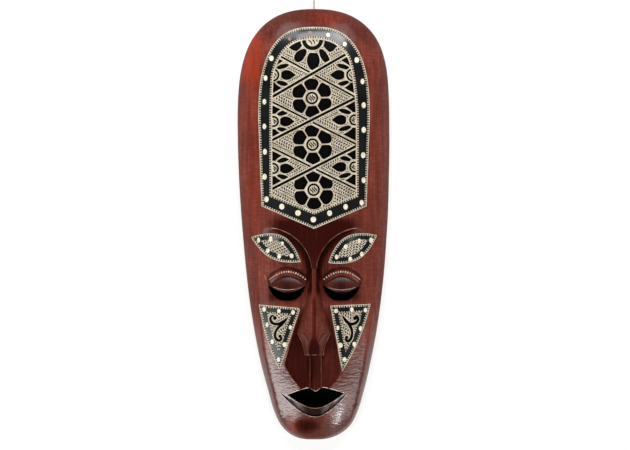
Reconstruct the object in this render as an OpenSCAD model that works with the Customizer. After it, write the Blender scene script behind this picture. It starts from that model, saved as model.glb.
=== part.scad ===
// A carved wooden wall mask with five inlaid panels, hung on a string.
// The mask is drawn from its chin (z = 0) up to its crown, with its hollow back on the plane y = 0
// and its face towards -Y. hang() then lowers it, so that the row's origin is the point on the wall
// where a nail or hook holds the loop of the string.

/* [Mask] */
// Length of the mask, chin to crown
mask_h = 500; // [490:1:510]
// Width of the mask at its widest
mask_w = 176; // [170:1:184]
// Height above the chin of the widest place
widest_z = 377; // [370:1:385]
// Height of the side wall, from the back plane to where the dome starts
rim_h = 14; // [12:1:18]
// Height of the dome above the side wall
crown_h = 44; // [40:1:48]
// Thickness of wood between the dome and the hollow back
wall = 17; // [15:1:19]
// Width of the hollow, as a share of the mask's width
hollow_share = 0.8; // [0.74:0.01:0.84]

/* [Nose and brows] */
// Height of the nose's underside
nose_z = 96.5; // [94:0.5:99]
// Height where the two brow ridges meet the nose
bridge_z = 198; // [194:1:202]
// Height where the brow ridges run out at the temples
brow_top = 246; // [243:1:250]
// Distance of the brow ridges' outer ends from the middle
brow_reach = 52; // [46:1:56]
// Greatest depth of the eye sockets below the forehead
socket_depth = 10; // [7:0.5:10]

/* [Eyes and mouth] */
// Distance of each eye's centre from the middle
eye_x = 31.5; // [30:0.5:33]
// Height of the line through the corners of the eyes
eye_z = 179; // [176:0.5:182]
// Half the width of an eye
eye_half = 22.5; // [20:0.5:24]
// Half the width of the mouth opening
mouth_half = 32; // [28:0.5:34]
// Height of the corners of the mouth
mouth_z = 51.7; // [50:0.1:54]
// How far the mouth sits to one side, as it was cut by hand
mouth_x = 1.8; // [0:0.1:2.5]
// Rise of the mouth across its width
mouth_tilt = 0.03; // [0:0.01:0.04]
// Depth of the hollow that makes the lower lip
lip_depth = 3; // [2:0.5:4]

/* [Inlays] */
// Depth of the recess cut for a black panel
panel_depth = 2; // [1.5:0.1:2.5]
// How far a panel stands proud of the wood
proud = 0.3; // [0.2:0.1:0.5]
// Depth of the pale line work cut into the black
line_depth = 0.6; // [0.4:0.1:0.8]
// Radius of a shell dot
dot_r = 2.6; // [2.2:0.1:2.9]
// Depth of the hole that holds a shell dot
dot_depth = 1.3; // [1:0.1:1.4]
// Distance between the flowers on the forehead
flower_pitch = 53.4; // [52:0.1:54]

/* [Hanging] */
// Distance from the wall hook down to the crown
hook_drop = 36; // [30:1:60]
// Distance from the crown down to the screw eye
eyelet_drop = 26; // [24:1:30]
// Width of the channel that the string runs in
channel_w = 16; // [14:1:20]
// Depth of that channel
channel_d = 9; // [8.9:0.1:9.5]
// Diameter of the string
string_d = 1.5; // [1.2:0.1:1.6]

/* [Hidden] */
LEFT = -1;
RIGHT = 1;
air = 12;          // how far cutters run past the surface they cut
glue = 0.05;       // gap round a shell dot
half_w = mask_w / 2;

// ---- The carved surface -------------------------------------------------------------------

// A superellipse: 1 at t = 0, falling to 0 at t = 1
function arch(t, p, q) = pow(max(0, 1 - pow(abs(t), p)), 1 / q);
function smooth(t) = let (c = min(1, max(0, t))) c * c * (3 - 2 * c);
function mix(a, b, t) = a + (b - a) * t;

function above(z) = (z - widest_z) / (mask_h - widest_z);
function below(z) = (widest_z - z) / widest_z;
function half_width(z) = half_w * (z > widest_z ? arch(above(z), 2.5, 2.5) : arch(below(z), 1.8, 3));
function crown(z) = crown_h * (z > widest_z ? arch(above(z), 2.6, 1.9) : arch(below(z), 2.4, 2));

// The dome that the log is first rounded to: height of its face above the back plane
function dome(x, z) = rim_h + crown(z) * arch(x / max(1, half_width(z)), 2.2, 1.7);

// The face is cut back from the dome beside the nose and under the brows
socket_profile = [[0, 0], [20, 0.1], [60, 0.4], [96, 0.8], [150, 1], [205, 1], [230, 0.8], [246, 0.3], [256, 0]];
function socket(x, z) = socket_depth * lookup(z, socket_profile) * (1 - smooth((abs(x) - 18) / 54));
function face(x, z) = dome(x, z) - socket(x, z);

// Half the width of the raised middle, which is the forehead, the nose and the lip in turn
nose_profile = [[96.5, 11.5], [106, 12.3], [114, 15], [124, 19.5], [137, 16], [155, 11], [178, 6], [198, 2.5]];
function middle_half(z) =
    z >= brow_top ? min(brow_reach, 0.6 * half_width(z))
    : z >= bridge_z ? mix(brow_reach, 2.5, arch((z - bridge_z) / (brow_top - bridge_z), 1.85, 1.85))
    : z >= nose_z ? lookup(z, nose_profile)
    : min(11.5, 0.4 * half_width(z));

ridge_profile = [[96.5, 56], [101, 59.5], [110, 60.5], [130, 59], [165, 56], [198, 54.2]];
wing_profile = [[96.5, 8], [106, 7.5], [114, 5], [124, 1.5], [130, 0]];
function nose(x, z) =
    let (flat = mix(3.6, 0.8, (z - nose_z) / (bridge_z - nose_z)), edge = middle_half(z),
         t = min(1, max(0, (abs(x) - flat) / (edge - flat))))
    mix(lookup(z, ridge_profile), face(edge, z) + lookup(z, wing_profile), pow(t, 1.25));
function middle(x, z) =
    z >= bridge_z ? dome(x, z)
    : z >= nose_z ? nose(x, z)
    : face(x, z);

// ---- The carved block as a grid of points -------------------------------------------------

rows_chin = [for (a = [88.9, 86, 82, 77, 72, 68]) widest_z * (1 - sin(a))];
rows_lip = [for (z = [33 : 7.5 : 93]) z];
rows_face = [for (z = [101 : 6.5 : 193]) z];
rows_brow = [for (z = [bridge_z : 6 : 241]) z];
rows_forehead = [255, 285, 315, 346, widest_z];
rows_crown = [for (a = [12 : 12 : 72]) widest_z + (mask_h - widest_z) * sin(a)];
rows_end = [for (a = [80.5, 87.8]) widest_z + (mask_h - widest_z) * sin(a)];
rows = concat(rows_chin, rows_lip, [nose_z - 0.2, nose_z + 0.2], rows_face, rows_brow,
    [brow_top - 3, brow_top - 0.4, brow_top + 0.4], rows_forehead, rows_crown, rows_end);

inner_n = 5;       // columns from the middle to the edge of the raised part
outer_n = 9;      // columns from there to the side of the mask
half_cols = inner_n + outer_n + 2;

function inner_point(k, z) =
    let (x = (middle_half(z) - 0.2) * k / inner_n) [x, -middle(x, z), z];
function outer_point(k, z) =
    let (s = k / outer_n, from = middle_half(z) + 0.2, x = mix(from, half_width(z), mix(s, sin(90 * s), 0.5)))
    [x, -face(x, z), z];
function flip(p) = [-p[0], p[1], p[2]];
function half_row(z) = [for (k = [0 : inner_n]) inner_point(k, z), for (k = [0 : outer_n]) outer_point(k, z)];
function full_row(z) =
    let (h = half_row(z), n = len(h)) concat([for (i = [n - 1 : -1 : 1]) flip(h[i])], h);

// A solid between two grids of points of the same size
module between(front, back) {
    r = len(front);
    c = len(front[0]);
    function at(side, i, j) = side * r * c + i * c + j;
    function quad(a, b, d, e) = [[a, b, d], [a, d, e]];
    front_faces = [for (i = [0 : r - 2]) for (j = [0 : c - 2])
        each quad(at(0, i, j), at(0, i + 1, j), at(0, i + 1, j + 1), at(0, i, j + 1))];
    back_faces = [for (i = [0 : r - 2]) for (j = [0 : c - 2])
        each quad(at(1, i, j), at(1, i, j + 1), at(1, i + 1, j + 1), at(1, i + 1, j))];
    left = [for (i = [0 : r - 2]) each quad(at(0, i, 0), at(1, i, 0), at(1, i + 1, 0), at(0, i + 1, 0))];
    right = [for (i = [0 : r - 2]) each quad(at(0, i, c - 1), at(0, i + 1, c - 1), at(1, i + 1, c - 1), at(1, i, c - 1))];
    bottom = [for (j = [0 : c - 2]) each quad(at(0, 0, j), at(0, 0, j + 1), at(1, 0, j + 1), at(1, 0, j))];
    top = [for (j = [0 : c - 2]) each quad(at(0, r - 1, j), at(1, r - 1, j), at(1, r - 1, j + 1), at(0, r - 1, j + 1))];
    polyhedron(points = [for (grid = [front, back]) for (row = grid) each row],
        faces = concat(front_faces, back_faces, left, right, bottom, top), convexity = 10);
}

module carved_block() {
    front = [for (z = rows) full_row(z)];
    back = [for (row = front) [for (p = row) [p[0], 4, p[2]]]];
    difference() {
        between(front, back);
        translate([-mask_w, 0, -air]) cube([2 * mask_w, air, mask_h + 2 * air]);
    }
}

// A slab that follows the face: from `low` to `high` above it, over a patch [x0, x1, nx, z0, z1, nz]
forehead_patch = [-70, 70, 10, 240, 485, 9];
brow_patch = [8, 80, 6, 198, 246, 4];
cheek_patch = [8, 72, 6, 74, 162, 5];
eye_patch = [4, 60, 5, 158, 202, 4];
mouth_patch = [-42, 42, 10, 20, 68, 5];
function steps(a, b, n) = [for (i = [0 : n]) a + (b - a) * i / n];
function height(x, z) = z > brow_top - 14 ? dome(x, z) : face(x, z);
module face_slab(patch, low, high, smooth_dome = false) {
    xs = steps(patch[0], patch[1], patch[2]);
    zs = steps(patch[3], patch[4], patch[5]);
    function y(x, z) = -(smooth_dome ? dome(x, z) : face(x, z));
    between([for (z = zs) [for (x = xs) [x, y(x, z) - high, z]]],
        [for (z = zs) [for (x = xs) [x, y(x, z) - low, z]]]);
}
// The part of that slab inside a flat outline
module inlay(patch, low, high, smooth_dome = false) {
    intersection() {
        face_slab(patch, low, high, smooth_dome);
        rotate([90, 0, 0]) linear_extrude(height = 100) children();
    }
}

// ---- Outlines, drawn flat: x across, z up -------------------------------------------------

function mirrored(points) = [for (p = points) [-p[0], p[1]]];
// Points from one end of a bulging edge up to, but not including, the other end
function bulged(from, to, bulge, n) =
    let (along = to - from, side = [-along[1], along[0]] / norm(along))
    [for (i = [0 : n - 1]) from + along * i / n + side * bulge * pow(sin(180 * i / n), 0.9)];
function leaf(from, to, bulge_a, bulge_b, n) =
    concat(bulged(from, to, bulge_a, n), bulged(to, from, bulge_b, n));

// The forehead panel: an arch on a shallow V. `reach` is its half width, `top` and `foot` its ends
module arch_outline(reach, spring, top, corner, foot) {
    n = 8;
    crown_half = [for (i = [0 : n]) let (a = 90 * i / n)
        [reach * pow(cos(a), 0.76), spring + (top - spring) * pow(sin(a), 0.76)]];
    right_half = concat([[corner[0], corner[1]]], crown_half);
    polygon(concat([[0, foot]], right_half, [for (i = [len(right_half) - 2 : -1 : 0]) [-right_half[i][0], right_half[i][1]]]));
}
module forehead_outline() arch_outline(65.5, 372, 479.5, [62, 272], 245);
module forehead_field() arch_outline(50.5, 372, 466, [50.4, 283.5], 263.5);

// Leaf panels on the brows and three-cornered panels on the cheeks, each side as it was cut
brow_tips = [[[-73, 233], [-15.5, 205.3]], [[16.8, 204.6], [73, 235.6]]];
brow_bulge = [[15.5, 11.5], [13.6, 14]];
cheek_tips = [[[-64.5, 156.2], [-40, 80.2], [-15.9, 151]], [[18.2, 154.4], [32.8, 78.6], [66, 156.8]]];
cheek_bulge = [[-3.4, 0, 0], [0, -3.8, 0]];
function pick(side) = side == LEFT ? 0 : 1;
module brow_outline(side) let (t = brow_tips[pick(side)], b = brow_bulge[pick(side)])
    polygon(leaf(t[0], t[1], b[0], b[1], 8));
module cheek_outline(side) let (t = cheek_tips[pick(side)], b = cheek_bulge[pick(side)])
    polygon([for (i = [0 : 2]) each bulged(t[i], t[(i + 1) % 3], b[i], b[i] == 0 ? 1 : 5)]);

// Eye outlines are arcs between two corners, mouth outlines a curve over and one under
function eye_arc(half, z_end, z_mid, n) =
    [for (i = [0 : n]) let (t = 2 * i / n - 1) [eye_x + half * t, z_end + (z_mid - z_end) * (1 - t * t)]];
function reverse(list) = [for (i = [len(list) - 1 : -1 : 0]) list[i]];
module between_arcs(upper, lower) polygon(concat(upper, reverse(lower)));
almond_top = eye_arc(eye_half - 1.5, eye_z - 1, eye_z + 9.6, 8);
almond_foot = eye_arc(eye_half - 1.5, eye_z - 1, eye_z - 9, 8);
lid_edge = eye_arc(eye_half - 1.2, eye_z - 1.6, eye_z + 9.2, 8);
slit_head = eye_arc(eye_half - 2.2, eye_z - 1.4, eye_z - 9.2, 8);
slit_foot = eye_arc(eye_half - 2.5, eye_z - 3, eye_z - 18.4, 8);
crease = eye_arc(eye_half + 0.5, eye_z + 8, eye_z + 19, 8);
bead_line = eye_arc(eye_half - 0.5, eye_z + 4.5, eye_z + 14.6, 8);

function mouth_over(x, half, lift) =
    mouth_z + lift + 8.5 * (1 - pow(abs(x / half), 1.6)) - 5.5 * exp(-x * x / 25);
function mouth_under(x, half, drop) = mouth_z - drop * (1 - pow(abs(x / half), 1.5));
module at_mouth() multmatrix([[1, 0, 0, mouth_x], [mouth_tilt, 1, 0, 0], [0, 0, 1, 0], [0, 0, 0, 1]]) children();
module mouth_outline(half, lift, drop) at_mouth() {
    xs = steps(-half, half, 14);
    polygon(concat([for (x = xs) [x, mouth_over(x, half, lift)]],
        [for (x = reverse(xs)) [x, mouth_under(x, half, drop)]]));
}
// The hollow of the lower lip, under the opening
module lip_outline(half, drop) at_mouth() {
    xs = steps(-half, half, 14);
    polygon(concat([for (x = xs) [x, mouth_z + 1 - 3 * (1 - pow(abs(x / half), 2))]],
        [for (x = reverse(xs)) [x, mouth_under(x, half, drop)]]));
}

// ---- The wood -----------------------------------------------------------------------------

module both_sides() {
    children();
    mirror([1, 0, 0]) children();
}
module along_y(y0, y1) translate([0, y1, 0]) rotate([90, 0, 0]) linear_extrude(height = y1 - y0) children();

// The hollow back: half ellipses joined one to the next
hollow_rows = [[36, 0.3], [42, 0.62], [54, 0.88], [75, 1], [105, 1], [145, 1], [190, 1], [235, 1], [285, 1], [335, 1], [385, 1],
    [422, 1], [444, 0.88], [458, 0.65], [466, 0.3]];
module hollow_slice(z, share) {
    a = hollow_share * half_width(z) * pow(share, 0.35);
    b = (dome(0, z) - wall - 4 * lookup(z, socket_profile)) * share;
    translate([0, 0, z]) linear_extrude(height = 0.02)
        polygon(concat([[a, 1]], [for (i = [0 : 9]) let (t = 180 * i / 9) [a * cos(t), -b * sin(t)]], [[-a, 1]]));
}
module hollow() {
    for (i = [0 : len(hollow_rows) - 2]) hull() {
        hollow_slice(hollow_rows[i][0], hollow_rows[i][1]);
        hollow_slice(hollow_rows[i + 1][0], hollow_rows[i + 1][1]);
    }
}

// The channel for the string, from the hollow up through the crown
module channel() translate([-channel_w / 2, -channel_d, mask_h - 60]) cube([channel_w, channel_d + 1, 70]);

module eyeball() {
    intersection() {
        translate([eye_x, -(face(eye_x, eye_z) - 4), eye_z]) scale([1.25, 0.62, 1]) sphere(r = 18, $fn = 20);
        along_y(-70, -20) between_arcs(almond_top, almond_foot);
    }
}
module lid() inlay(eye_patch, -3, 2.4) between_arcs(crease, lid_edge);
module lower_lip() inlay(mouth_patch, -lip_depth, air) lip_outline(mouth_half + 5, 26.3);
module philtrum() for (side = [LEFT, RIGHT]) hull() {
    translate([mouth_x + side * 6.2, -face(6, nose_z), nose_z]) sphere(r = 1.6, $fn = 10);
    translate([mouth_x + side * 6.6, -face(6, 62) - 0.5, 61]) sphere(r = 1.6, $fn = 10);
}
// The cheeks are gouged away on both sides of the upper lip, down to the mouth
module muzzle_gouge() translate([20.8, -(face(20.8, 84) + 3), 84]) scale([10, 7.5, 32]) sphere(r = 1, $fn = 16);

module eye_slit() along_y(-70, 1) between_arcs(slit_head, slit_foot);
module mouth_slit() along_y(-70, 1) mouth_outline(mouth_half, 0, 16);
module bead_band() {
    between_arcs([for (p = bead_line) p + [0, 0.9]], [for (p = bead_line) p - [0, 0.9]]);
}

module mask_body() color("#7a2f24") hang() difference() {
    union() {
        carved_block();
        both_sides() {
            lid();
            eyeball();
        }
        philtrum();
    }
    hollow();
    channel();
    mouth_slit();
    lower_lip();
    both_sides() {
        eye_slit();
        muzzle_gouge();
        inlay(eye_patch, 1.4, air) bead_band();
    }
    inlay(forehead_patch, -panel_depth, air, true) forehead_outline();
    for (side = [LEFT, RIGHT]) {
        on_side(side) inlay(brow_patch, -panel_depth, air) flat_side(side) brow_outline(side);
        on_side(side) inlay(cheek_patch, -panel_depth, air) flat_side(side) cheek_outline(side);
    }
    screw_shank();
}

// Left-hand panels are cut with the right-hand patches mirrored
module on_side(side) {
    if (side == LEFT) mirror([1, 0, 0]) children();
    else children();
}
module flat_side(side) {
    if (side == LEFT) mirror([1, 0]) children();
    else children();
}

// ---- The inlays ---------------------------------------------------------------------------

// A frame on the face at [x, z]: its z axis stands square to the surface
module stand_on(p, smooth_dome = false) {
    function h(x, z) = smooth_dome ? dome(x, z) : face(x, z);
    step = 0.5;
    hx = (h(p[0] + step, p[1]) - h(p[0] - step, p[1])) / (2 * step);
    hz = (h(p[0], p[1] + step) - h(p[0], p[1] - step)) / (2 * step);
    n = [-hx, -1, -hz] / norm([hx, 1, hz]);
    u = [1, -hx, 0] / norm([1, hx, 0]);
    v = cross(n, u);
    multmatrix([[u[0], v[0], n[0], p[0]], [u[1], v[1], n[1], -h(p[0], p[1])], [u[2], v[2], n[2], p[1]], [0, 0, 0, 1]])
        children();
}
module dot(r, low, high) translate([0, 0, low]) linear_extrude(height = high - low)
    polygon([for (i = [0 : 7]) [0.88 * r * cos(45 * i), 1.18 * r * sin(45 * i)]]);
module dot_holes(points, smooth_dome = false)
    for (p = points) stand_on(p, smooth_dome) dot(dot_r + glue, -dot_depth, air);
module dots(points, smooth_dome = false)
    for (p = points) stand_on(p, smooth_dome) dot(dot_r, -dot_depth, proud + 0.3);

forehead_dots_side = [[49.5, 442.4], [56.2, 417.5], [57.6, 390], [57.6, 361.4], [57, 332], [57.4, 303], [55.2, 277]];
forehead_dots = concat(forehead_dots_side - [for (p = forehead_dots_side) [0, 2]],
    [for (p = forehead_dots_side) [-p[0], p[1] + 2]],
    [[-28, 465], [-5, 472], [16.3, 469.4], [35.6, 458.8], [-37.4, 270.4], [-18.6, 263], [-0.8, 255.4], [18, 262.8],
    [36.6, 270.2]]);
brow_dots = [
    [[-63.4, 230.4], [-50.2, 231.2], [-37.2, 226], [-26, 212.4], [-40.6, 210.8], [-54, 217.8]],
    [[65.4, 230.8], [52.2, 230.6], [37, 223.8], [26.4, 211.2], [42, 209.4], [55.2, 217]]];
cheek_dots = [
    [[-57.6, 150], [-40.6, 148.4], [-23.8, 146], [-54.6, 131.8], [-28.4, 128.8], [-48.6, 112.4], [-35, 109.2], [-41.2, 94.4]],
    [[25.2, 148.4], [43.8, 150], [59, 149.4], [28.2, 129], [52.6, 128.4], [32, 108.8], [45, 109.8], [36.2, 93.6]]];

// A panel: black resin with the places for its pale edge, its pale field and its dots cut out
module forehead_panel() color("#2c3430") hang() difference() {
    inlay(forehead_patch, -panel_depth, proud, true) forehead_outline();
    inlay(forehead_patch, -line_depth, air, true) forehead_pale();
    dot_holes(forehead_dots, true);
}
module forehead_linework() color("#e1d2b4") hang() inlay(forehead_patch, -line_depth, proud, true) forehead_pale();
module forehead_pale() {
    difference() {
        forehead_outline();
        offset(delta = -2.2) forehead_outline();
    }
    forehead_field();
}
module forehead_shell_dots() color("#efe4c8") hang() dots(forehead_dots, true);

module edge_and_core(edge, core) {
    difference() {
        children();
        offset(delta = -edge) children();
    }
    offset(delta = -core) children();
}
module brow_pale(side) edge_and_core(1.8, 6.4) brow_outline(side);
module cheek_pale(side) edge_and_core(1.8, 9) cheek_outline(side);

module brow_panel(side) color("#2c3430") hang() difference() {
    on_side(side) inlay(brow_patch, -panel_depth, proud) flat_side(side) brow_outline(side);
    on_side(side) inlay(brow_patch, -line_depth, air) flat_side(side) brow_pale(side);
    dot_holes(brow_dots[pick(side)]);
}
module brow_linework(side) color("#e1d2b4") hang() difference() {
    on_side(side) inlay(brow_patch, -line_depth, proud) flat_side(side) brow_pale(side);
    dot_holes(brow_dots[pick(side)]);
}
module cheek_panel(side) color("#2c3430") hang() difference() {
    on_side(side) inlay(cheek_patch, -panel_depth, proud) flat_side(side) cheek_outline(side);
    on_side(side) inlay(cheek_patch, -line_depth, air) flat_side(side) cheek_pale(side);
    dot_holes(cheek_dots[pick(side)]);
}
module brow_shell_dots(side) color("#efe4c8") hang() dots(brow_dots[pick(side)]);
module cheek_shell_dots(side) color("#efe4c8") hang() dots(cheek_dots[pick(side)]);
module cheek_linework(side) color("#e1d2b4") hang()
    on_side(side) inlay(cheek_patch, -line_depth, proud) flat_side(side) cheek_pale(side);

module eyelid_beads(side) color("#efe4c8") hang()
    on_side(side) inlay(eye_patch, 1.4, 2.9) bead_band();

// The lattice and the flowers stand on the pale field of the forehead
relief = 0.5;
crossings = [for (i = [0 : 2]) 422.7 - i * flower_pitch];
module on_field() inlay(forehead_patch, proud, proud + relief, true) intersection() {
    offset(delta = -1.2) forehead_field();
    children();
}
module bar(z, slope) hull() for (x = [-56, 56]) translate([x, z + slope * x]) circle(r = 1.3, $fn = 6);
module forehead_lattice() color("#14130f") hang() on_field()
    for (z = crossings) for (slope = [-0.53, 0.53]) bar(z, slope);

module round_petal() polygon(concat([[2.6, 9], [-2.6, 9]],
    [for (a = [190 : -36.7 : -10]) [6.7 * cos(a), 15 + 6.7 * sin(a)]]));
module pointed_petal(from, length, width) polygon(leaf([0, from], [0, from + length], width / 2, width / 2, 3));
module ring(r, thick) difference() {
    circle(r = r, $fn = 12);
    circle(r = r - thick, $fn = 12);
}
module flower() {
    ring(6.6, 1.4);
    for (a = [0 : 60 : 300]) rotate(a) round_petal();
}
module side_flower() {
    for (a = [-70, -35, 0, 35, 70]) rotate(a + 90) pointed_petal(9.2, 15.5, 8.8);
}
module top_flower() {
    ring(13, 5);
    for (a = [-84, -42, 0, 42, 84]) rotate(a + 180) pointed_petal(14.5, 20, 13);
}
module forehead_flowers() color("#14130f") hang() on_field() difference() {
    union() {
        for (z = crossings) translate([0, z - flower_pitch / 2]) flower();
        for (z = crossings) for (side = [LEFT, RIGHT])
            translate([side * 46.5, z]) flat_side(side) side_flower();
        translate([0, 462]) top_flower();
    }
    for (z = crossings) for (slope = [-0.53, 0.53]) offset(delta = 1.1) bar(z, slope);
}

// Black scroll on the pale core of a cheek panel, as strokes between round stops [x, z, radius]
scroll_stops = [[-31, 141.5, 0.4], [-33, 138, 1.4], [-37, 134, 1.8], [-41, 131.5, 1.8], [-45, 131.6, 1.8], [-47.4, 134.6, 1.8],
    [-46, 138.4, 1.6], [-43.6, 138, 1.9]];
scroll_tail = [[-37, 134, 1.7], [-40.4, 129, 1.6], [-42, 124, 1.5], [-42, 119, 1.6], [-40, 115.4, 1.8], [-37.6, 116.4, 1.6],
    [-38, 119.4, 2]];
module strokes(stops) for (i = [0 : len(stops) - 2]) hull() for (p = [stops[i], stops[i + 1]])
    translate([p[0], p[1]]) circle(r = p[2], $fn = 7);
module cheek_scroll(side) color("#14130f") hang() on_side(side)
    inlay(cheek_patch, proud, proud + relief) translate([side == LEFT ? 0 : 2.4, 2]) mirror([1, 0]) {
        strokes(scroll_stops);
        strokes(scroll_tail);
    }

// ---- The string and its eye ---------------------------------------------------------------

module hang() translate([0, 0, -mask_h - hook_drop]) children();
string_y = -4.5;
wire_r = 0.8;
eye_r = 3.6;
pivot_z = -hook_drop - eyelet_drop;
loop_r = 2.25;
hook_r = 6;
knot_h = 3.6;
string_r = string_d / 2;
upper_end = 2.25 - 2 * hook_r - string_r / 2 - knot_h;
lower_end = pivot_z + loop_r + string_r / 2 + knot_h;

module screw_shank() translate([0, string_y - eye_r, mask_h - eyelet_drop - eye_r])
    rotate([90, 0, 0]) cylinder(r = 1.1, h = 14, $fn = 12);
module screw_eye() color("#b8a26a") {
    hang() screw_shank();
    translate([0, string_y, pivot_z - eye_r]) rotate([0, 90, 0])
        rotate_extrude() translate([eye_r, 0]) circle(r = wire_r);
}
// A barrel of turns of string
module knot(z) translate([0, string_y, z]) rotate_extrude()
    polygon([[0, 0], [1.2, 0], [1.9, 0.9], [2, 1.8], [1.9, 2.7], [1.2, knot_h], [0, knot_h]]);
module string_loop(r, z) translate([0, string_y, z]) rotate([90, 0, 0])
    rotate_extrude() translate([r, 0]) circle(r = string_r);
module loop_knot() color("#d2bd9c") {
    string_loop(hook_r, 2.25 - hook_r);
    knot(upper_end);
}
module eye_knot() color("#d2bd9c") {
    string_loop(loop_r, pivot_z);
    knot(lower_end - knot_h);
}
string_route = [for (t = [0 : 10]) [0, string_y, mix(lower_end, upper_end, t / 10)]];
module hanging_string() color("#d2bd9c") {
    sides = 8;
    rings = len(string_route);
    polyhedron(points = [for (p = string_route) for (k = [0 : sides - 1])
            p + string_r * [cos(360 * k / sides), sin(360 * k / sides), 0]],
        faces = concat([[for (k = [0 : sides - 1]) k]],
            [for (i = [0 : rings - 2]) for (k = [0 : sides - 1]) let (a = i * sides, b = (k + 1) % sides)
                [a + k, a + sides + k, a + sides + b, a + b]],
            [[for (k = [sides - 1 : -1 : 0]) (rings - 1) * sides + k]]));
}

mask_body();
forehead_panel();
forehead_linework();
forehead_lattice();
forehead_flowers();
forehead_shell_dots();
brow_panel(LEFT);  // brow_panel_left
brow_linework(LEFT);  // brow_linework_left
brow_shell_dots(LEFT);  // brow_shell_dots_left
brow_panel(RIGHT);  // brow_panel_right
brow_linework(RIGHT);  // brow_linework_right
brow_shell_dots(RIGHT);  // brow_shell_dots_right
cheek_panel(LEFT);  // cheek_panel_left
cheek_linework(LEFT);  // cheek_linework_left
cheek_scroll(LEFT);  // cheek_scroll_left
cheek_shell_dots(LEFT);  // cheek_shell_dots_left
cheek_panel(RIGHT);  // cheek_panel_right
cheek_linework(RIGHT);  // cheek_linework_right
cheek_scroll(RIGHT);  // cheek_scroll_right
cheek_shell_dots(RIGHT);  // cheek_shell_dots_right
eyelid_beads(LEFT);  // eyelid_beads_left
eyelid_beads(RIGHT);  // eyelid_beads_right
screw_eye();
hanging_string();
eye_knot();
loop_knot();
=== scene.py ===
# A long carved wall mask of stained and lacquered wood, with black panels inlaid with pale line
# work and shell dots, hung on a string. Lengths are millimetres until a piece is finished.
import math

import bmesh
import bpy
from mathutils import Matrix, Vector


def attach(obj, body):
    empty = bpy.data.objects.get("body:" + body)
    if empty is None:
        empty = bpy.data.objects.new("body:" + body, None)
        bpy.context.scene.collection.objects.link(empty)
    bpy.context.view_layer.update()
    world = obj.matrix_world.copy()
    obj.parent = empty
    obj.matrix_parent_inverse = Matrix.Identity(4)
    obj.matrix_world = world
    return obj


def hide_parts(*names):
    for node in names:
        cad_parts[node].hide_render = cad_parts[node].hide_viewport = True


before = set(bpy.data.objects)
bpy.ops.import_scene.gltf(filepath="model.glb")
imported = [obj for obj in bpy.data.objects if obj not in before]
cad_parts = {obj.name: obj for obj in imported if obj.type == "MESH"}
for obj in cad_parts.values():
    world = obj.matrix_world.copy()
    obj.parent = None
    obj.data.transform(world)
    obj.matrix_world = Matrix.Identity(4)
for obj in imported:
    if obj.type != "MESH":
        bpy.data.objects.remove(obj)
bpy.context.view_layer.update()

# ---- Camera -------------------------------------------------------------------------------
# A long lens straight in front of the mask, level with the middle of its height.
CHIN = -536.0  # height of the chin below the hook, in millimetres
MIDDLE = 249.1  # height of the camera above the chin, in millimetres
CAMERA_AWAY = 16.277  # metres
camera_data = bpy.data.cameras.new("camera")
camera_data.lens = 800.0
camera_data.sensor_width = 36.0
camera_data.clip_end = 30.0
camera = bpy.data.objects.new("camera", camera_data)
bpy.context.scene.collection.objects.link(camera)
camera.location = (0.0011, -CAMERA_AWAY, (CHIN + MIDDLE) / 1000)
camera.rotation_euler = (math.radians(90), 0, 0)
bpy.context.scene.camera = camera
bpy.context.scene.view_settings.view_transform = "Standard"

# ---- String -------------------------------------------------------------------------------
# A short length of two-ply natural twine, 1.5 mm thick. It is tied through the screw eye with
# one knot, runs straight up behind the crown, and ends in a knotted loop over a nail.


def hex_colour(code, alpha=1.0):
    """The linear colour of an sRGB hex value."""
    parts = [int(code[i : i + 2], 16) / 255 for i in (1, 3, 5)]
    return [c / 12.92 if c < 0.04045 else ((c + 0.055) / 1.055) ** 2.4 for c in parts] + [alpha]


def add(tree, kind, inputs=(), stops=(), **settings):
    """A node with its settings. Inputs go by name or in order, as values, sockets or nodes: those of
    a MapRange are the value, the range it comes from and the range it goes to."""
    node = tree.nodes.new("ShaderNode" + kind)
    for key, value in settings.items():
        setattr(node, key, value)
    for k, (place, code) in enumerate(stops):
        node.color_ramp.elements[k].position = place
        node.color_ramp.elements[k].color = hex_colour(code)
    for key, value in inputs.items() if isinstance(inputs, dict) else enumerate(inputs):
        if isinstance(value, bpy.types.Node):
            value = next(socket for socket in value.outputs if socket.enabled)
        if isinstance(value, bpy.types.NodeSocket):
            tree.links.new(value, node.inputs[key])
        else:
            node.inputs[key].default_value = value
    return node


def blank_material(name):
    made = bpy.data.materials.new(name)
    made.use_nodes = True
    made.node_tree.nodes.clear()
    return made, made.node_tree


def toned_material(name, scale, stops, detail=3.0, distortion=0.0):
    """A new material, its nodes, patches of noise, and a tone that wavers between two colours in them."""
    made, tree = blank_material(name)
    place = add(tree, "TexCoord").outputs["Object"]
    patches = add(tree, "TexNoise", {
        "Vector": place, "Scale": scale, "Detail": detail, "Distortion": distortion})
    return made, tree, patches, add(tree, "ValToRGB", (patches,), stops=stops)


def finish_shader(tree, shader):
    add(tree, "OutputMaterial", {"Surface": shader})


def place_mesh(name, bm, materials):
    """An object of the shapes, in the scene and with its materials."""
    mesh = bpy.data.meshes.new(name)
    bm.to_mesh(mesh)
    bm.free()
    for material in materials:
        mesh.materials.append(material)
    made = bpy.data.objects.new(name, mesh)
    bpy.context.scene.collection.objects.link(made)
    return made


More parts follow.
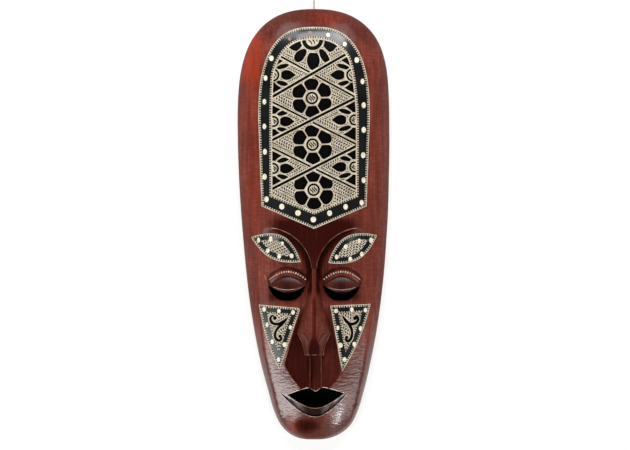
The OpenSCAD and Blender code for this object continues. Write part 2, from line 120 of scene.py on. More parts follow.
def finish_piece(name, bm, materials, slot, *nodes, body="mask", sharp=None, chin_frame=True):
    """Makes the object: from millimetres above the chin to metres below the hook."""
    if chin_frame:
        bmesh.ops.translate(bm, verts=bm.verts, vec=(0, 0, CHIN))
    bmesh.ops.scale(bm, verts=bm.verts, vec=(0.001, 0.001, 0.001))
    for face in bm.faces:
        face.smooth = True
    if sharp:
        for edge in bm.edges:
            edge.smooth = not (edge.is_manifold and edge.calc_face_angle(0) > math.radians(sharp))
    piece = place_mesh(name, bm, materials)
    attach(piece, body)
    if nodes:
        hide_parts(*nodes)
    return piece


# Twine: spun plant fibre, dull and slightly hairy, with paler and darker fibres at random.
twine, tree, fibres, tone = toned_material("twine", 2500.0, ((0.3, "#a88d66"), (0.7, "#dcc9a6")))
nap = add(tree, "Bump", {"Height": fibres, "Strength": 0.4, "Distance": 0.0002})
finish_shader(tree, add(tree, "BsdfPrincipled", {
    "Base Color": tone, "Normal": nap, "Roughness": 0.9, "Sheen Weight": 0.3, "Sheen Roughness": 0.5}))


def verts_of(geom):
    return [g for g in geom if isinstance(g, bmesh.types.BMVert)]


STRING_Y = -4.5
STRING_R = 0.75
PIVOT_Z = -62.0
LOOP_R = 2.25
HOOK_R = 6.0
KNOT_H = 3.6
string_low = PIVOT_Z + LOOP_R + STRING_R / 2 + KNOT_H
string_high = 2.25 - 2 * HOOK_R - STRING_R / 2 - KNOT_H


def ply_circle(bm, radius, lobes, turn=0.0):
    """A closed profile with a dent between each pair of plies, around the local Z axis."""
    made = bmesh.ops.create_circle(bm, segments=12, radius=radius)["verts"]
    for v in made:
        angle = math.atan2(v.co.y, v.co.x)
        v.co *= 0.86 + 0.14 * abs(math.cos(angle * lobes / 2))
    bmesh.ops.rotate(bm, verts=made, cent=(0, 0, 0), matrix=Matrix.Rotation(turn, 3, "Z"))
    return made


def twisted_ring(bm, centre, radius, thick, axis, turns):
    """A ring of twine: the profile is carried round in steps and twisted on the way."""
    steps = 40
    rows = []
    for k in range(steps):
        around = 2 * math.pi * k / steps
        row = ply_circle(bm, thick, 2, turns * around)
        bmesh.ops.rotate(bm, verts=row, cent=(0, 0, 0), matrix=Matrix.Rotation(math.pi / 2, 3, "X"))
        bmesh.ops.translate(bm, verts=row, vec=(radius, 0, 0))
        bmesh.ops.rotate(bm, verts=row, cent=(0, 0, 0), matrix=Matrix.Rotation(around, 3, "Z"))
        rows.append(row)
    for k in range(steps):
        edges = {e for row in (rows[k], rows[(k + 1) % steps]) for v in row for e in v.link_edges
                 if e.other_vert(v) in row}
        bmesh.ops.bridge_loops(bm, edges=list(edges))
    whole = [v for row in rows for v in row]
    bmesh.ops.rotate(bm, verts=whole, cent=(0, 0, 0), matrix=axis)
    bmesh.ops.translate(bm, verts=whole, vec=centre)


bm = bmesh.new()
profile = ply_circle(bm, STRING_R, 2)
bmesh.ops.translate(bm, verts=profile, vec=(0, STRING_Y, string_low))
loop = [e for e in bm.edges]
bmesh.ops.contextual_create(bm, geom=loop)
step = 0.6
turns = round((string_high - string_low) / step)
for k in range(turns):
    grown = bmesh.ops.extrude_edge_only(bm, edges=loop)["geom"]
    moved = verts_of(grown)
    loop = [g for g in grown if isinstance(g, bmesh.types.BMEdge)]
    bmesh.ops.translate(bm, verts=moved, vec=(0, 0, (string_high - string_low) / turns))
    bmesh.ops.rotate(bm, verts=moved, cent=(0, STRING_Y, 0),
                     matrix=Matrix.Rotation(math.radians(24), 3, "Z"))
bmesh.ops.contextual_create(bm, geom=loop)
bmesh.ops.recalc_face_normals(bm, faces=bm.faces)
string = finish_piece("string", bm, [twine], "string", "hanging_string", body="string", chin_frame=False)


def knotted_loop(name, ring_z, ring_r, twists, knot_z, node):
    """A ring of twine and the barrel of turns that closes it."""
    bm = bmesh.new()
    upright = Matrix.Rotation(math.pi / 2, 3, "X")
    twisted_ring(bm, (0, STRING_Y, ring_z), ring_r, STRING_R, upright, twists)
    for k in range(3):
        tilt = Matrix.Rotation(math.radians(9), 3, "X")
        twisted_ring(bm, (0, STRING_Y, knot_z + 0.75 + 1.05 * k), 1.2, 0.72, tilt, 3)
    bmesh.ops.recalc_face_normals(bm, faces=bm.faces)
    return finish_piece(name, bm, [twine], "string", node, body="string", chin_frame=False)


loop_over_nail = knotted_loop("loop_over_nail", 2.25 - HOOK_R, HOOK_R, 9, string_high, "loop_knot")
loop_through_eye = knotted_loop("loop_through_eye", PIVOT_Z, LOOP_R, 4, string_low - KNOT_H, "eye_knot")

# ---- Carved wood --------------------------------------------------------------------------
# The mask is one block of light tropical hardwood, carved with gouges, hollowed from behind,
# stained red-brown and finished with glossy lacquer. The inside of the cuts is painted black.


def stained_hardwood(name, cut_depth, coat_roughness, even_coat=0.0):
    """Hardwood, stained and lacquered: fine upright grain under the stain, which pools darker in the
    hollows and is darkened further there by painted shade, and is rubbed thin on raised patches, and a
    hard clear coat over the marks of the gouge."""
    made, tree = blank_material(name)
    place = add(tree, "TexCoord").outputs["Object"]
    # grain lines about 0.8 mm apart across and 40 mm long
    along = add(tree, "Mapping", {"Vector": place, "Scale": (1250.0, 300.0, 22.0)})
    grain = add(tree, "TexNoise", {"Vector": along, "Scale": 1.0, "Detail": 5.0, "Roughness": 0.62})
    # clouds of stain about 35 mm across
    clouds = add(tree, "TexNoise", {"Vector": place, "Scale": 28.0, "Detail": 4.0, "Distortion": 0.6})
    # streaks of redder wood about 4 mm wide
    broad = add(tree, "Mapping", {"Vector": place, "Scale": (250.0, 90.0, 14.0)})
    streaks = add(tree, "TexNoise", {"Vector": broad, "Scale": 1.0, "Detail": 3.0, "Distortion": 0.4})
    red = add(tree, "ValToRGB", (streaks,), stops=((0.3, "#7c3a2e"), (0.7, "#974b3e")))
    dark = add(tree, "ValToRGB", (grain,), stops=((0.3, "#b2aaa6"), (0.6, "#ffffff")))
    stained = add(tree, "Mix", {"Factor": 1.0, 6: red, 7: dark},
                  data_type="RGBA", blend_type="MULTIPLY")
    # darker ripples left by the scraper, about 2 mm apart and 9 mm long
    slope = add(tree, "Mapping", {"Vector": place, "Rotation": (0.0, math.radians(-16), 0.0),
                                  "Scale": (110.0, 110.0, 520.0)})
    ripples = add(tree, "TexNoise", {"Vector": slope, "Scale": 1.0, "Detail": 2.0})
    ripple = add(tree, "MapRange", (ripples, 0.35, 0.65, 0.78, 1.08))
    rippled = add(tree, "VectorMath", {0: stained, "Scale": ripple}, operation="SCALE")
    cloudy = add(tree, "MapRange", (clouds, 0.35, 0.75, 0.0, 0.5))
    patched = add(tree, "Mix", {"Factor": cloudy, 6: rippled, 7: hex_colour("#5c241b")},
                  data_type="RGBA")
    # U of the map "stain" tells where the stain lies thick and where shade is painted, V where it is
    # rubbed thin
    thick = add(tree, "UVMap", uv_map="stain")
    share = add(tree, "SeparateXYZ", {"Vector": thick})
    uneven = add(tree, "MapRange", (grain, 0.3, 0.7, 1.0, 0.7))
    stain_and_painted_shade = add(tree, "Math", (share.outputs["X"], uneven), operation="MULTIPLY")
    deep = add(tree, "Mix", {"Factor": stain_and_painted_shade, 6: patched, 7: hex_colour("#320803")}, data_type="RGBA")
    # past a share of 1 the colour runs on towards black: painted shadow where the shade is deepest
    deepest_painted_shade = add(tree, "Math", (stain_and_painted_shade, 1.0), operation="SUBTRACT", use_clamp=True)
    with_painted_shadow = add(tree, "Mix", {"Factor": deepest_painted_shade, 6: deep, 7: hex_colour("#0a0201")},
                       data_type="RGBA")
    worn = add(tree, "MapRange", (streaks, 0.35, 0.6, 0.25, 1.0))
    thin = add(tree, "Math", (share.outputs["Y"], worn), operation="MULTIPLY")
    colour = add(tree, "Mix", {"Factor": thin, 6: with_painted_shadow, 7: hex_colour("#a93a1f")},
                 data_type="RGBA")
    # marks of the gouge: shallow slanting cuts about 2.5 mm wide and 7 mm long
    level = add(tree, "Mapping", {"Vector": place, "Rotation": (0.0, math.radians(32), 0.0),
                                  "Scale": (140.0, 140.0, 430.0)})
    cuts = add(tree, "TexNoise", {"Vector": level, "Scale": 1.0, "Detail": 2.0, "Roughness": 0.5})
    height = add(tree, "SeparateXYZ", {"Vector": place})
    scored = add(tree, "MapRange", (height.outputs["Z"], -0.45, -0.38, cut_depth, 0.35 * cut_depth))
    cut = add(tree, "Bump", {"Height": cuts, "Strength": scored, "Distance": 0.0008})
    pores = add(tree, "Bump", {"Height": grain, "Strength": 0.15, "Distance": 0.0003, "Normal": cut})
    gloss = add(tree, "MapRange", (grain, 0.0, 1.0, 0.36, 0.5))
    dull = add(tree, "Mix", {"Factor": share.outputs["X"], 2: gloss, 3: 0.65}, data_type="FLOAT")
    # the lacquer is thickest on the cheeks and chin, thinner above them, down the middle and in hollows
    polish = add(tree, "MapRange", (height.outputs["Z"], -0.45, -0.38, 1.0, 0.24))
    thinned = add(tree, "MapRange", (share.outputs["X"], 0.5, 0.85, 1.0, 0.0))
    apart = add(tree, "Math", (height.outputs["X"],), operation="ABSOLUTE")
    aside = add(tree, "MapRange", (apart, 0.01, 0.024, 0.3, 1.0))
    lower = add(tree, "Math", (polish, aside), operation="MULTIPLY")
    coat = add(tree, "Math", (lower, thinned, even_coat), operation="MULTIPLY_ADD")
    finish_shader(tree, add(tree, "BsdfPrincipled", {
        "Base Color": colour, "Roughness": dull, "Normal": pores, "Specular IOR Level": 0.05,
        "Coat Weight": coat, "Coat Roughness": coat_roughness, "Coat IOR": 1.8, "Coat Normal": cut}))
    return made


# the carved and lacquered surface, and the smoother one of the polished eyes
stained_wood = stained_hardwood("stained_hardwood", 0.42, 0.2)
smooth_wood = stained_hardwood("polished_hardwood", 0.1, 0.32, 0.2)

# The same lacquer over a stain brushed on almost black, in the hollow of the lower lip.
dark_lacquer, tree = blank_material("dark_lacquer")
place = add(tree, "TexCoord").outputs["Object"]
brushed = add(tree, "TexNoise", {"Vector": place, "Scale": 120.0, "Detail": 3.0})
tone = add(tree, "ValToRGB", (brushed,), stops=((0.0, "#0c0403"), (1.0, "#33120c")))
waves = add(tree, "Bump", {"Height": brushed, "Strength": 0.6, "Distance": 0.001})
# the lacquer is worn off in the middle of the lip and whole at its two ends, where grey patches
# of painted reflection are mixed into its colour
parts = add(tree, "SeparateXYZ", {"Vector": place})
apart = add(tree, "Math", (parts.outputs["X"],), operation="ABSOLUTE")
whole = add(tree, "MapRange", (apart, 0.007, 0.018, 0.05, 1.0))
reflection_patches = add(tree, "MapRange", (brushed, 0.45, 0.6, 0.1, 0.8))
painted_reflection_share = add(tree, "Math", (reflection_patches, whole), operation="MULTIPLY")
tone_with_painted_reflection = add(tree, "Mix", {"Factor": painted_reflection_share, 6: tone, 7: hex_colour("#7a6e6b")}, data_type="RGBA")
finish_shader(tree, add(tree, "BsdfPrincipled", {
    "Base Color": tone_with_painted_reflection, "Roughness": 0.4, "Normal": waves, "Specular IOR Level": 0.1,
    "Coat Weight": whole, "Coat Roughness": 0.12, "Coat IOR": 1.7, "Coat Normal": waves}))

# The same wood along the sharp edges of the carving, where polishing has rubbed the stain away;
# the pale line also stands in as a painted highlight on those edges.
rubbed_wood_and_highlight, tree, _, tone = toned_material("rubbed_hardwood_and_highlight", 160.0,
                                            ((0.35, "#6a3022"), (0.62, "#ad6e50")))
finish_shader(tree, add(tree, "BsdfPrincipled", {
    "Base Color": tone, "Roughness": 0.35, "Coat Weight": 0.6, "Coat Roughness": 0.16}))

# Bare hardwood along the edges of the mouth, where the lacquer is worn through as well; its
# near-white tone is also a painted highlight along those edges.
worn_wood_and_highlight, tree, _, tone = toned_material("worn_hardwood_and_highlight", 110.0, ((0.38, "#a98070"), (0.56, "#f0dfd2")))
finish_shader(tree, add(tree, "BsdfPrincipled", {"Base Color": tone, "Roughness": 0.4}))

# Black paint inside the slits and the mouth: thin, matt, soaked into the cut wood. It also draws
# thin dark lines of painted shade in the creases above the lids and along the nostrils.
black_paint, tree, _, tone = toned_material("black_paint", 400.0, ((0.0, "#020202"), (1.0, "#090706")))
finish_shader(tree, add(tree, "BsdfPrincipled", {
    "Base Color": tone, "Roughness": 0.7, "Specular IOR Level": 0.2}))

MASK_H = 500.0
HALF_W = 88.0
WIDEST_Z = 377.0
RIM_H = 14.0
CROWN_H = 44.0
NOSE_Z = 98.0
BRIDGE_Z = 198.0
BROW_TOP = 246.0
BROW_REACH = 52.0
EYE_X = 31.5
EYE_Z = 180.3
MOUTH_X = 1.8
MOUTH_Z = 52.8
MOUTH_TILT = 0.03
MOUTH_HALF = 32.8
RIDGE_APART = 6.5
MOUTH_DROP = 16
LIP_HALF = 37.0
LIP_DROP = 26.3


def arch(t, p, q):
    return max(0.0, 1 - min(1.0, abs(t)) ** p) ** (1 / q)


def smooth(t):
    t = min(1.0, max(0.0, t))
    return t * t * (3 - 2 * t)


def mix(a, b, t):
    return a + (b - a) * t


def along_table(value, table):
    """The value of a table of [place, value] at a place, eased round each stop."""
    if value <= table[0][0]:
        return table[0][1]
    for k in range(len(table) - 1):
        (x0, y0), (x1, y1) = table[k], table[k + 1]
        if value <= x1:
            before = table[max(0, k - 1)]
            after = table[min(len(table) - 1, k + 2)]
            m0 = (y1 - before[1]) / (x1 - before[0])
            m1 = (after[1] - y0) / (after[0] - x0)
            t = (value - x0) / (x1 - x0)
            w = x1 - x0
            return ((2 * t**3 - 3 * t**2 + 1) * y0 + (t**3 - 2 * t**2 + t) * w * m0
                    + (3 * t**2 - 2 * t**3) * y1 + (t**3 - t**2) * w * m1)
    return table[-1][1]


def half_width(z):
    if z > WIDEST_Z:
        return HALF_W * arch((z - WIDEST_Z) / (MASK_H - WIDEST_Z), 2.5, 2.5)
    return HALF_W * arch((WIDEST_Z - z) / WIDEST_Z, 1.8, 3)


EDGE_LEFT = [(0, 0), (6, 0.4), (16, 0.9), (33, -0.5), (57, -2.4), (92, -2), (127, -1.5), (162, -0.8),
             (231, -0.2), (301, 0.7), (371, 0.9), (406, 0.6), (441, 1.2), (464, 1.6), (490, 1), (500, 0)]
EDGE_RIGHT = [(0, 0), (6, 2.4), (16, 4.6), (33, 3.8), (57, 2.2), (92, 1.6), (127, 1.9), (197, 2.1),
              (231, 1.7), (267, 1.4), (301, 0.6), (336, 0.1), (371, -0.5), (406, -0.5), (441, 1.4),
              (464, 2.7), (490, 1.8), (500, 0)]


def side_width(x, z):
    """The half width on that side: the outline was sawn freehand and leans a little."""
    return half_width(z) + along_table(z, EDGE_LEFT if x < 0 else EDGE_RIGHT)


def dome(x, z):
    if z > WIDEST_Z:
        crown = CROWN_H * arch((z - WIDEST_Z) / (MASK_H - WIDEST_Z), 2.6, 1.9)
    else:
        crown = CROWN_H * arch((WIDEST_Z - z) / WIDEST_Z, 2.4, 2)
    return RIM_H + crown * arch(x / max(1.0, side_width(x, z)), 2.2, 1.7)


SOCKET = [(0, 0), (20, 0.1), (60, 0.4), (96, 0.8), (150, 1), (205, 1), (230, 0.8), (246, 0.3), (256, 0)]
NOSE_HALF = [(96.5, 11.5), (106, 12.3), (114, 15), (124, 19.5), (137, 16), (155, 11), (178, 6),
             (198, 2.5)]
NOSE_RIDGE = [(96.5, 56), (101, 59.5), (110, 60.5), (130, 59), (165, 56), (198, 54.2)]
NOSE_WING = [(96.5, 8), (106, 7.5), (114, 5), (124, 1.5), (130, 0)]


def plain_face(x, z):
    return dome(x, z) - 10 * along_table(z, SOCKET) * (1 - smooth((abs(x) - 18) / 54))


VALLEY_LEFT = [(56, 13), (62, 17.6), (71, 25), (80, 30.8), (88, 34), (100, 31), (125, 24.2), (151, 16.5),
               (170, 15)]
VALLEY_RIGHT = [(56, 13), (63.4, 21.4), (70, 27), (79, 31.2), (100, 28.5), (125, 23.8), (154, 18.6),
                (170, 17)]


def valley_edge(x, z):
    """Outer edge of the hollow that runs down that side of the nose to the mouth."""
    return along_table(z, VALLEY_LEFT if x < 0 else VALLEY_RIGHT)


def valley(x, z):
    inside = 1 - min(1.0, max(0.0, (valley_edge(x, z) - abs(x)) / 10))
    return 6.0 * (1 - inside * inside) * smooth((z - 40) / 6) * (1 - smooth((z - 105) / 55))


def under_brow(x, z):
    """Distance from the edge of the brow into the socket below it."""
    over = (z - BRIDGE_Z) / (BROW_TOP - BRIDGE_Z)
    across = max(0.0, (BROW_REACH - abs(x)) / (BROW_REACH - 2.5))
    return 48.5 * (1 - (over**1.85 + across**1.85) ** (1 / 1.85))


def brow_wall(x, z):
    """How much of the socket's depth is left under the brow: it falls from its edge in 7 mm."""
    if z < 150:
        return 0.0
    if z < BRIDGE_Z:
        return max(0.0, 1 - max(0.0, abs(x) - middle_half(z)) / 5) ** 1.6 * smooth((z - 150) / 48)
    return min(1.0, max(0.0, 1 - under_brow(x, z) / mix(5, 8, (z - BRIDGE_Z) / 48))) ** 1.5


def face(x, z):
    plain = plain_face(x, z)
    return plain + (dome(x, z) - plain) * brow_wall(x, z) - valley(x, z)


def middle_half(z):
    if z >= BROW_TOP:
        return min(BROW_REACH, 0.6 * half_width(z))
    if z >= BRIDGE_Z:
        return mix(BROW_REACH, 2.5, arch((z - BRIDGE_Z) / (BROW_TOP - BRIDGE_Z), 1.85, 1.85))
    if z >= NOSE_Z:
        return along_table(z, NOSE_HALF)
    return min(11.5, 0.4 * half_width(z))


def middle(x, z):
    if z >= BRIDGE_Z:
        return dome(x, z)
    if z >= NOSE_Z:
        flat = mix(3.6, 0.8, (z - NOSE_Z) / (BRIDGE_Z - NOSE_Z))
        edge = middle_half(z)
        t = min(1.0, max(0.0, (abs(x) - flat) / (edge - flat)))
        plain = plain_face(edge, z)
        foot = plain + (dome(edge, z) - plain) * brow_wall(edge, z) + along_table(z, NOSE_WING)
        return mix(along_table(z, NOSE_RIDGE), foot, t**1.25)
    # two ridges with a groove between them run down from the nose
    ridges = 2.4 * math.exp(-(((abs(x - MOUTH_X) - RIDGE_APART) / 1.3) ** 2))
    groove = 1.6 * math.exp(-(((x - MOUTH_X) / 3.2) ** 2))
    return face(x, z) + (ridges - groove) * smooth((z - 44) / 6)


def mouth_over(x, half, lift):
    return MOUTH_Z + lift + 8.5 * (1 - abs(x / half) ** 1.6) - 5.5 * math.exp(-x * x / 25)


def mouth_under(x, half, drop):
    along = (math.hypot(x, 3) - 3) / (math.hypot(half, 3) - 3)
    return MOUTH_Z - drop * (1 - along**1.5)


def at_mouth(x, z):
    """From the mouth's own level to the face: it sits a little right of the middle and tilts."""
    return Vector((x + MOUTH_X, z + MOUTH_TILT * x))


def spread(share, stops):
    """A place between two stops of [share, place]."""
    for (a, x0), (b, x1) in zip(stops, stops[1:]):
        if share <= b:
            return x0 + (x1 - x0) * (share - a) / (b - a)
    return stops[-1][1]


ROWS = 330
COLUMNS = 184
ROW_STOPS = [(-1.0, 0.0), (-0.9, 20.0), (-0.64, 66.0), (-0.5, NOSE_Z - 0.3), (-0.494, NOSE_Z + 0.3),
             (0.26, 250.0), (0.56, 377.0), (1.0, 90.0)]


def row_height(v):
    """Heights of the rows of the carving: closer together in the face, and round the two ends."""
    if v < -0.9:
        return 20.0 * (1 - math.cos(math.radians(90 * (v + 1) / 0.1)))
    if v > 0.56:
        return WIDEST_Z + (MASK_H - WIDEST_Z) * math.sin(math.radians(90 * (v - 0.56) / 0.44))
    return spread(v, ROW_STOPS)


def carved_point(u, v):
    """A point of the carving: the middle strip, then the valley beside the nose, then the side."""
    z = row_height(v)
    edge = middle_half(z)
    side = -1 if u < 0 else 1
    share = abs(u)
    if share < 0.28:
        x = (edge - 0.12) * share / 0.28
        y = middle(side * x, z)
    else:
        s = (share - 0.28) / 0.72
        guide = max(valley_edge(side, z), edge + mix(2, 8, smooth((z - 165) / 30)))
        guide = min(guide, mix(edge, half_width(z), 0.4))
        if s < 0.3:
            x = mix(edge + 0.12, guide, s / 0.3)
        else:
            t = (s - 0.3) / 0.7
            x = mix(guide, side_width(side, z), mix(t, math.sin(t * math.pi / 2), 0.5))
        y = face(side * x, z)
    return Vector((side * x, -y, z))


bm = bmesh.new()
bmesh.ops.create_grid(bm, x_segments=COLUMNS, y_segments=ROWS, size=1.0)
for v in bm.verts:
    v.co = carved_point(v.co.x, v.co.y)
rim = [e for e in bm.edges if e.is_boundary]
for v in verts_of(bmesh.ops.extrude_edge_only(bm, edges=rim)["geom"]):
    v.co.y = 0.0
bmesh.ops.remove_doubles(bm, verts=bm.verts, dist=0.02)
bmesh.ops.holes_fill(bm, edges=[e for e in bm.edges if e.is_boundary], sides=0)
bmesh.ops.recalc_face_normals(bm, faces=bm.faces)
WOOD_LOOKS = [stained_wood, black_paint, dark_lacquer]
carving = place_mesh("carving", bm, WOOD_LOOKS)

HOLLOW = [(36, 0.3), (42, 0.62), (54, 0.88), (75, 1), (105, 1), (145, 1), (190, 1), (235, 1), (285, 1),
          (335, 1), (385, 1), (422, 1), (444, 0.88), (458, 0.65), (466, 0.3)]


def eye_arc(half, z_end, z_mid, t):
    return Vector((EYE_X + half * t, 0, z_end + (z_mid - z_end) * (1 - t * t)))


def slit_foot(t):
    """Height of the lower edge of the slit under an eye, from its middle (0) to its corners (1)."""
    return EYE_Z - 3.6 - 15.4 * (1 - abs(t) ** 3)


THROUGH = 70.0


def prism(bm, outline, y0, y1):
    """A straight cutter through the wood, from a flat outline of [x, z]."""
    verts = [bm.verts.new((x, y0, z)) for x, z in outline]
    flat = bm.faces.new(verts)
    grown = bmesh.ops.extrude_face_region(bm, geom=[flat])["geom"]
    bmesh.ops.translate(bm, verts=verts_of(grown), vec=(0, y1 - y0, 0))


OVERHANG = 14.0


def scoop(bm, low, high, depth, across=48, up=8):
    """A cutter between two lines over the face, that reaches a depth below the plain surface."""
    bmesh.ops.create_grid(bm, x_segments=across, y_segments=up, size=1.0)
    for v in bm.verts:
        t, s = v.co.x, (v.co.y + 1) / 2
        spot = low(t).lerp(high(t), s)
        v.co = (spot.x, -(face(spot.x, spot.y) - depth(t, s)), spot.y)
    grown = bmesh.ops.extrude_face_region(bm, geom=bm.faces[:])["geom"]
    bmesh.ops.translate(bm, verts=verts_of(grown), vec=(0, -OVERHANG, 0))


def cut_away(name, bm, material_index):
    """Takes a cutter out of the carving. The cut faces take the cutter's material."""
    bmesh.ops.recalc_face_normals(bm, faces=bm.faces)
    for f in bm.faces:
        f.material_index = material_index
    cutter = place_mesh(name, bm, WOOD_LOOKS)
    chisel = carving.modifiers.new(name, "BOOLEAN")
    chisel.object = cutter
    chisel.operation = "DIFFERENCE"
    chisel.solver = "EXACT"
    return cutter


cutters = []
# the hollow back: a row of half ellipses bridged one to the next
WOOD_THICK = 17.0
bm = bmesh.new()
loops = []
for z in [36 + 430 * k / 48 for k in range(49)]:
    share = along_table(z, HOLLOW)
    a = 0.8 * half_width(z) * share**0.35
    b = (dome(0, z) - WOOD_THICK - 4 * along_table(z, SOCKET)) * share
    ring = bmesh.ops.create_circle(bm, segments=56, radius=1.0)["verts"]
    for v in ring:
        x, y = v.co.x, v.co.y
        v.co = (a * x, -b * y if y > 0 else -4 * y, z)
    loops.append([e for e in bm.edges if e.verts[0] in ring and e.verts[1] in ring])
for low, high in zip(loops, loops[1:]):
    bmesh.ops.bridge_loops(bm, edges=low + high)
bmesh.ops.holes_fill(bm, edges=[e for e in bm.edges if e.is_boundary], sides=0)
cutters.append(cut_away("hollow", bm, 0))
# the channel for the string
bm = bmesh.new()
prism(bm, [(-8, 440), (8, 440), (8, 510), (-8, 510)], -9, 1)
cutters.append(cut_away("channel", bm, 0))
# the lower lip: a smooth sunk band between the mouth and a sharp edge along the chin


def lip_point(t, z):
    """A point of the lip, which reaches further out and up at its left end."""
    return at_mouth(LIP_HALF * t * (1.09 if t < 0 else 1.01), z + (1.6 * t * t if t < 0 else 0))


def lip_edge(t):
    return lip_point(t, mouth_under(LIP_HALF * t, LIP_HALF, LIP_DROP))


bm = bmesh.new()
scoop(bm, lip_edge, lambda t: lip_point(t, MOUTH_Z + 1 - 3 * (1 - t * t)),
      lambda t, s: 3.4 - 2.6 * min(1.0, s / 0.45), 72, 12)
cutters.append(cut_away("lip", bm, 2))
# a bed for each eye, sunk from the crease above the lid to the slit
EYES = {"left": (-30.6, -1), "right": (32.2, 1)}


def arc(centre, half, z_end, z_mid, t):
    return Vector((centre + half * t, z_end + (z_mid - z_end) * (1 - t * t)))


def crease(centre, t):
    """The crease above an eyelid."""
    return arc(centre, 24.2, EYE_Z + 7.4, EYE_Z + 19.8, t)


for side, (centre, _) in EYES.items():
    bm = bmesh.new()
    scoop(bm, lambda t: arc(centre, 21.5, EYE_Z - 2, EYE_Z - 9, t), lambda t: crease(centre, t),
          lambda t, s: 2.6)
    cutters.append(cut_away("bed_" + side, bm, 0))
# the mouth and the slits under the eyes
bm = bmesh.new()
xs = [-MOUTH_HALF + 2 * MOUTH_HALF * k / 48 for k in range(49)]
over = [at_mouth(x, mouth_over(x, MOUTH_HALF, 0)) for x in xs]
under = [at_mouth(x, mouth_under(x, MOUTH_HALF, MOUTH_DROP)) for x in reversed(xs[1:-1])]
prism(bm, over + under, -THROUGH, 1)
cutters.append(cut_away("mouth", bm, 1))
for side in (-1, 1):
    bm = bmesh.new()
    ts = [-1 + 2 * k / 24 for k in range(25)]
    over = [eye_arc(21, EYE_Z - 1, EYE_Z - 9, t) for t in ts]
    under = [Vector((EYE_X + 21 * t, 0, slit_foot(t))) for t in reversed(ts)]
    prism(bm, [(side * p.x, p.z) for p in over + under], -THROUGH, 1)
    cutters.append(cut_away("slit_left" if side < 0 else "slit_right", bm, 1))
graph = bpy.context.evaluated_depsgraph_get()
bm = bmesh.new()
bm.from_mesh(carving.evaluated_get(graph).to_mesh())
for spent in cutters + [carving]:
    bpy.data.objects.remove(spent)


def rise(value, start, over):
    """Grows smoothly from 0 at a start to 1 over a distance."""
    return smooth((value - start) / over)


def spot_at(x, z, centre_x, centre_z, wide, tall):
    """A soft spot: 1 at its centre, fading all round."""
    return math.exp(-(((x - centre_x) / wide) ** 2) - ((z - centre_z) / tall) ** 2)


def stain_and_shade_uv(bm):
    """Writes how thick the stain lies and where shade is painted: U grows in the hollows of the face
    and where shade falls, V on rubbed patches.
    """
    uv = bm.loops.layers.uv.new("stain")
    known = {}
    for v in bm.verts:
        x, z = v.co.x, v.co.z
        out = abs(x)
        # darker stain and painted shade down the valleys beside the nose, in the sockets and under the
        # brow
        hollow = smooth((valley_edge(x, z) - out + 0.8) / 1.6) * rise(z, 44, 4) * (1 - rise(z, 135, 35))
        if z < BRIDGE_Z:
            wing = 2 * rise(z, 168, 30) * (1 - smooth((out - middle_half(z)) / 12))
            socket = max(wing, 0.8 * (1 - rise(out, 12, 34)) * rise(z, 140, 40))
        elif under_brow(x, z) > 0:
            socket = (0.6 + 1.4 * (1 - smooth(under_brow(x, z) / 12))) * (1 - rise(out, 26, 40))
        else:
            socket = mix(1.05, 1.25, rise(z, 200, 18)) * (1 - rise(z, 250, 16)) * (1 - rise(out, 38, 24))
        # on the nose: a darker stripe down the ridge, and painted shade on the flanks
        if NOSE_Z < z < BRIDGE_Z and out < middle_half(z) + 0.1:
            foot = smooth((124 - z) / 18)
            ridge = math.exp(-((x / mix(2.6, 7.4, foot)) ** 4))
            stripe = mix(1.0, 1.45, foot) * ridge * (1 - rise(z, 160, 12))
            low_flank = 0.2 + 0.5 * (out / middle_half(z)) ** 3
            flank = mix(low_flank, 0.55 + rise(out, 1.2, 2.6), rise(z, 163, 14))
            hollow, socket = 0.0, max(stripe, flank)
        # rubbed patches: the left edge, the crown and the chin
        left = smooth((-x - 56) / 14) * max(0.22 * rise(z, 215, 40), rise(z, 395, 35))
        left *= 1 - rise(z, 476, 16)
        crown = 0.5 * spot_at(x, z, 19, 488, 15, 7)
        chin = 0.6 * spot_at(x, z, -26, 17, 6, 11)
        # painted shade round the eyes, under the almonds' rims, at their outer corners and below the
        # slits, and at the ends of the brows; a darker band down the middle of each eye is a painted
        # reflection
        round_eye_shade = smooth(2 - 2 * math.hypot((out - 30.4) / 31, (z - 175) / 21))
        eye = round_eye_shade * (0.95 + 0.4 * math.exp(-(((out - 31.4) / 5) ** 2)))
        t = (out - 31.4) / 21
        shade_below_rim = 1.3 * smooth((EYE_Z - 1.5 - 5 * (1 - t * t) - z) / 1.4)
        shade_below_rim *= smooth((z - EYE_Z + 13) / 6)
        shade_below_rim *= 1 - rise(abs(t), 0.9, 0.2)
        corner = 1.1 * spot_at(out, z, 48, 166, 7, 9)
        past = slit_foot(min(1.0, abs(t))) - z
        if past > -0.3:
            corner = max(corner, 1.0 * math.exp(-((past / 2.4) ** 2)) * (1 - rise(abs(t), 1, 0.15)))
        brow_end_shade = 0.8 * spot_at(out, z, 50, 241, 9, 7)
        eye = max(eye, shade_below_rim, corner, brow_end_shade)
        # the whole mask: darker over the lower face, and painted shade at the crown and under the chin
        under = 1.3 * spot_at(x, z, -9, 16, 19, 11)
        whole = max(0.48 * smooth((112 - z) / 30), 0.55 * rise(z, 454, 16))
        known[v] = (max((1.1 if x < 0 else 0.9) * hollow, socket, under, eye, whole),
                    max(left, crown, chin))
    for made in bm.faces:
        for loop in made.loops:
            loop[uv].uv = known[loop.vert]


stain_and_shade_uv(bm)
mask_wood = finish_piece("mask_wood", bm, WOOD_LOOKS, "stained_wood", "mask_body", sharp=32)

# ---- Forehead panel -----------------------------------------------------------------------
# A sheet of black resin let into the forehead, engraved by hand: the cuts are filled with pale
# lime paste and rubbed level, and round holes hold slices of shell. Hand-cut, so never quite even.

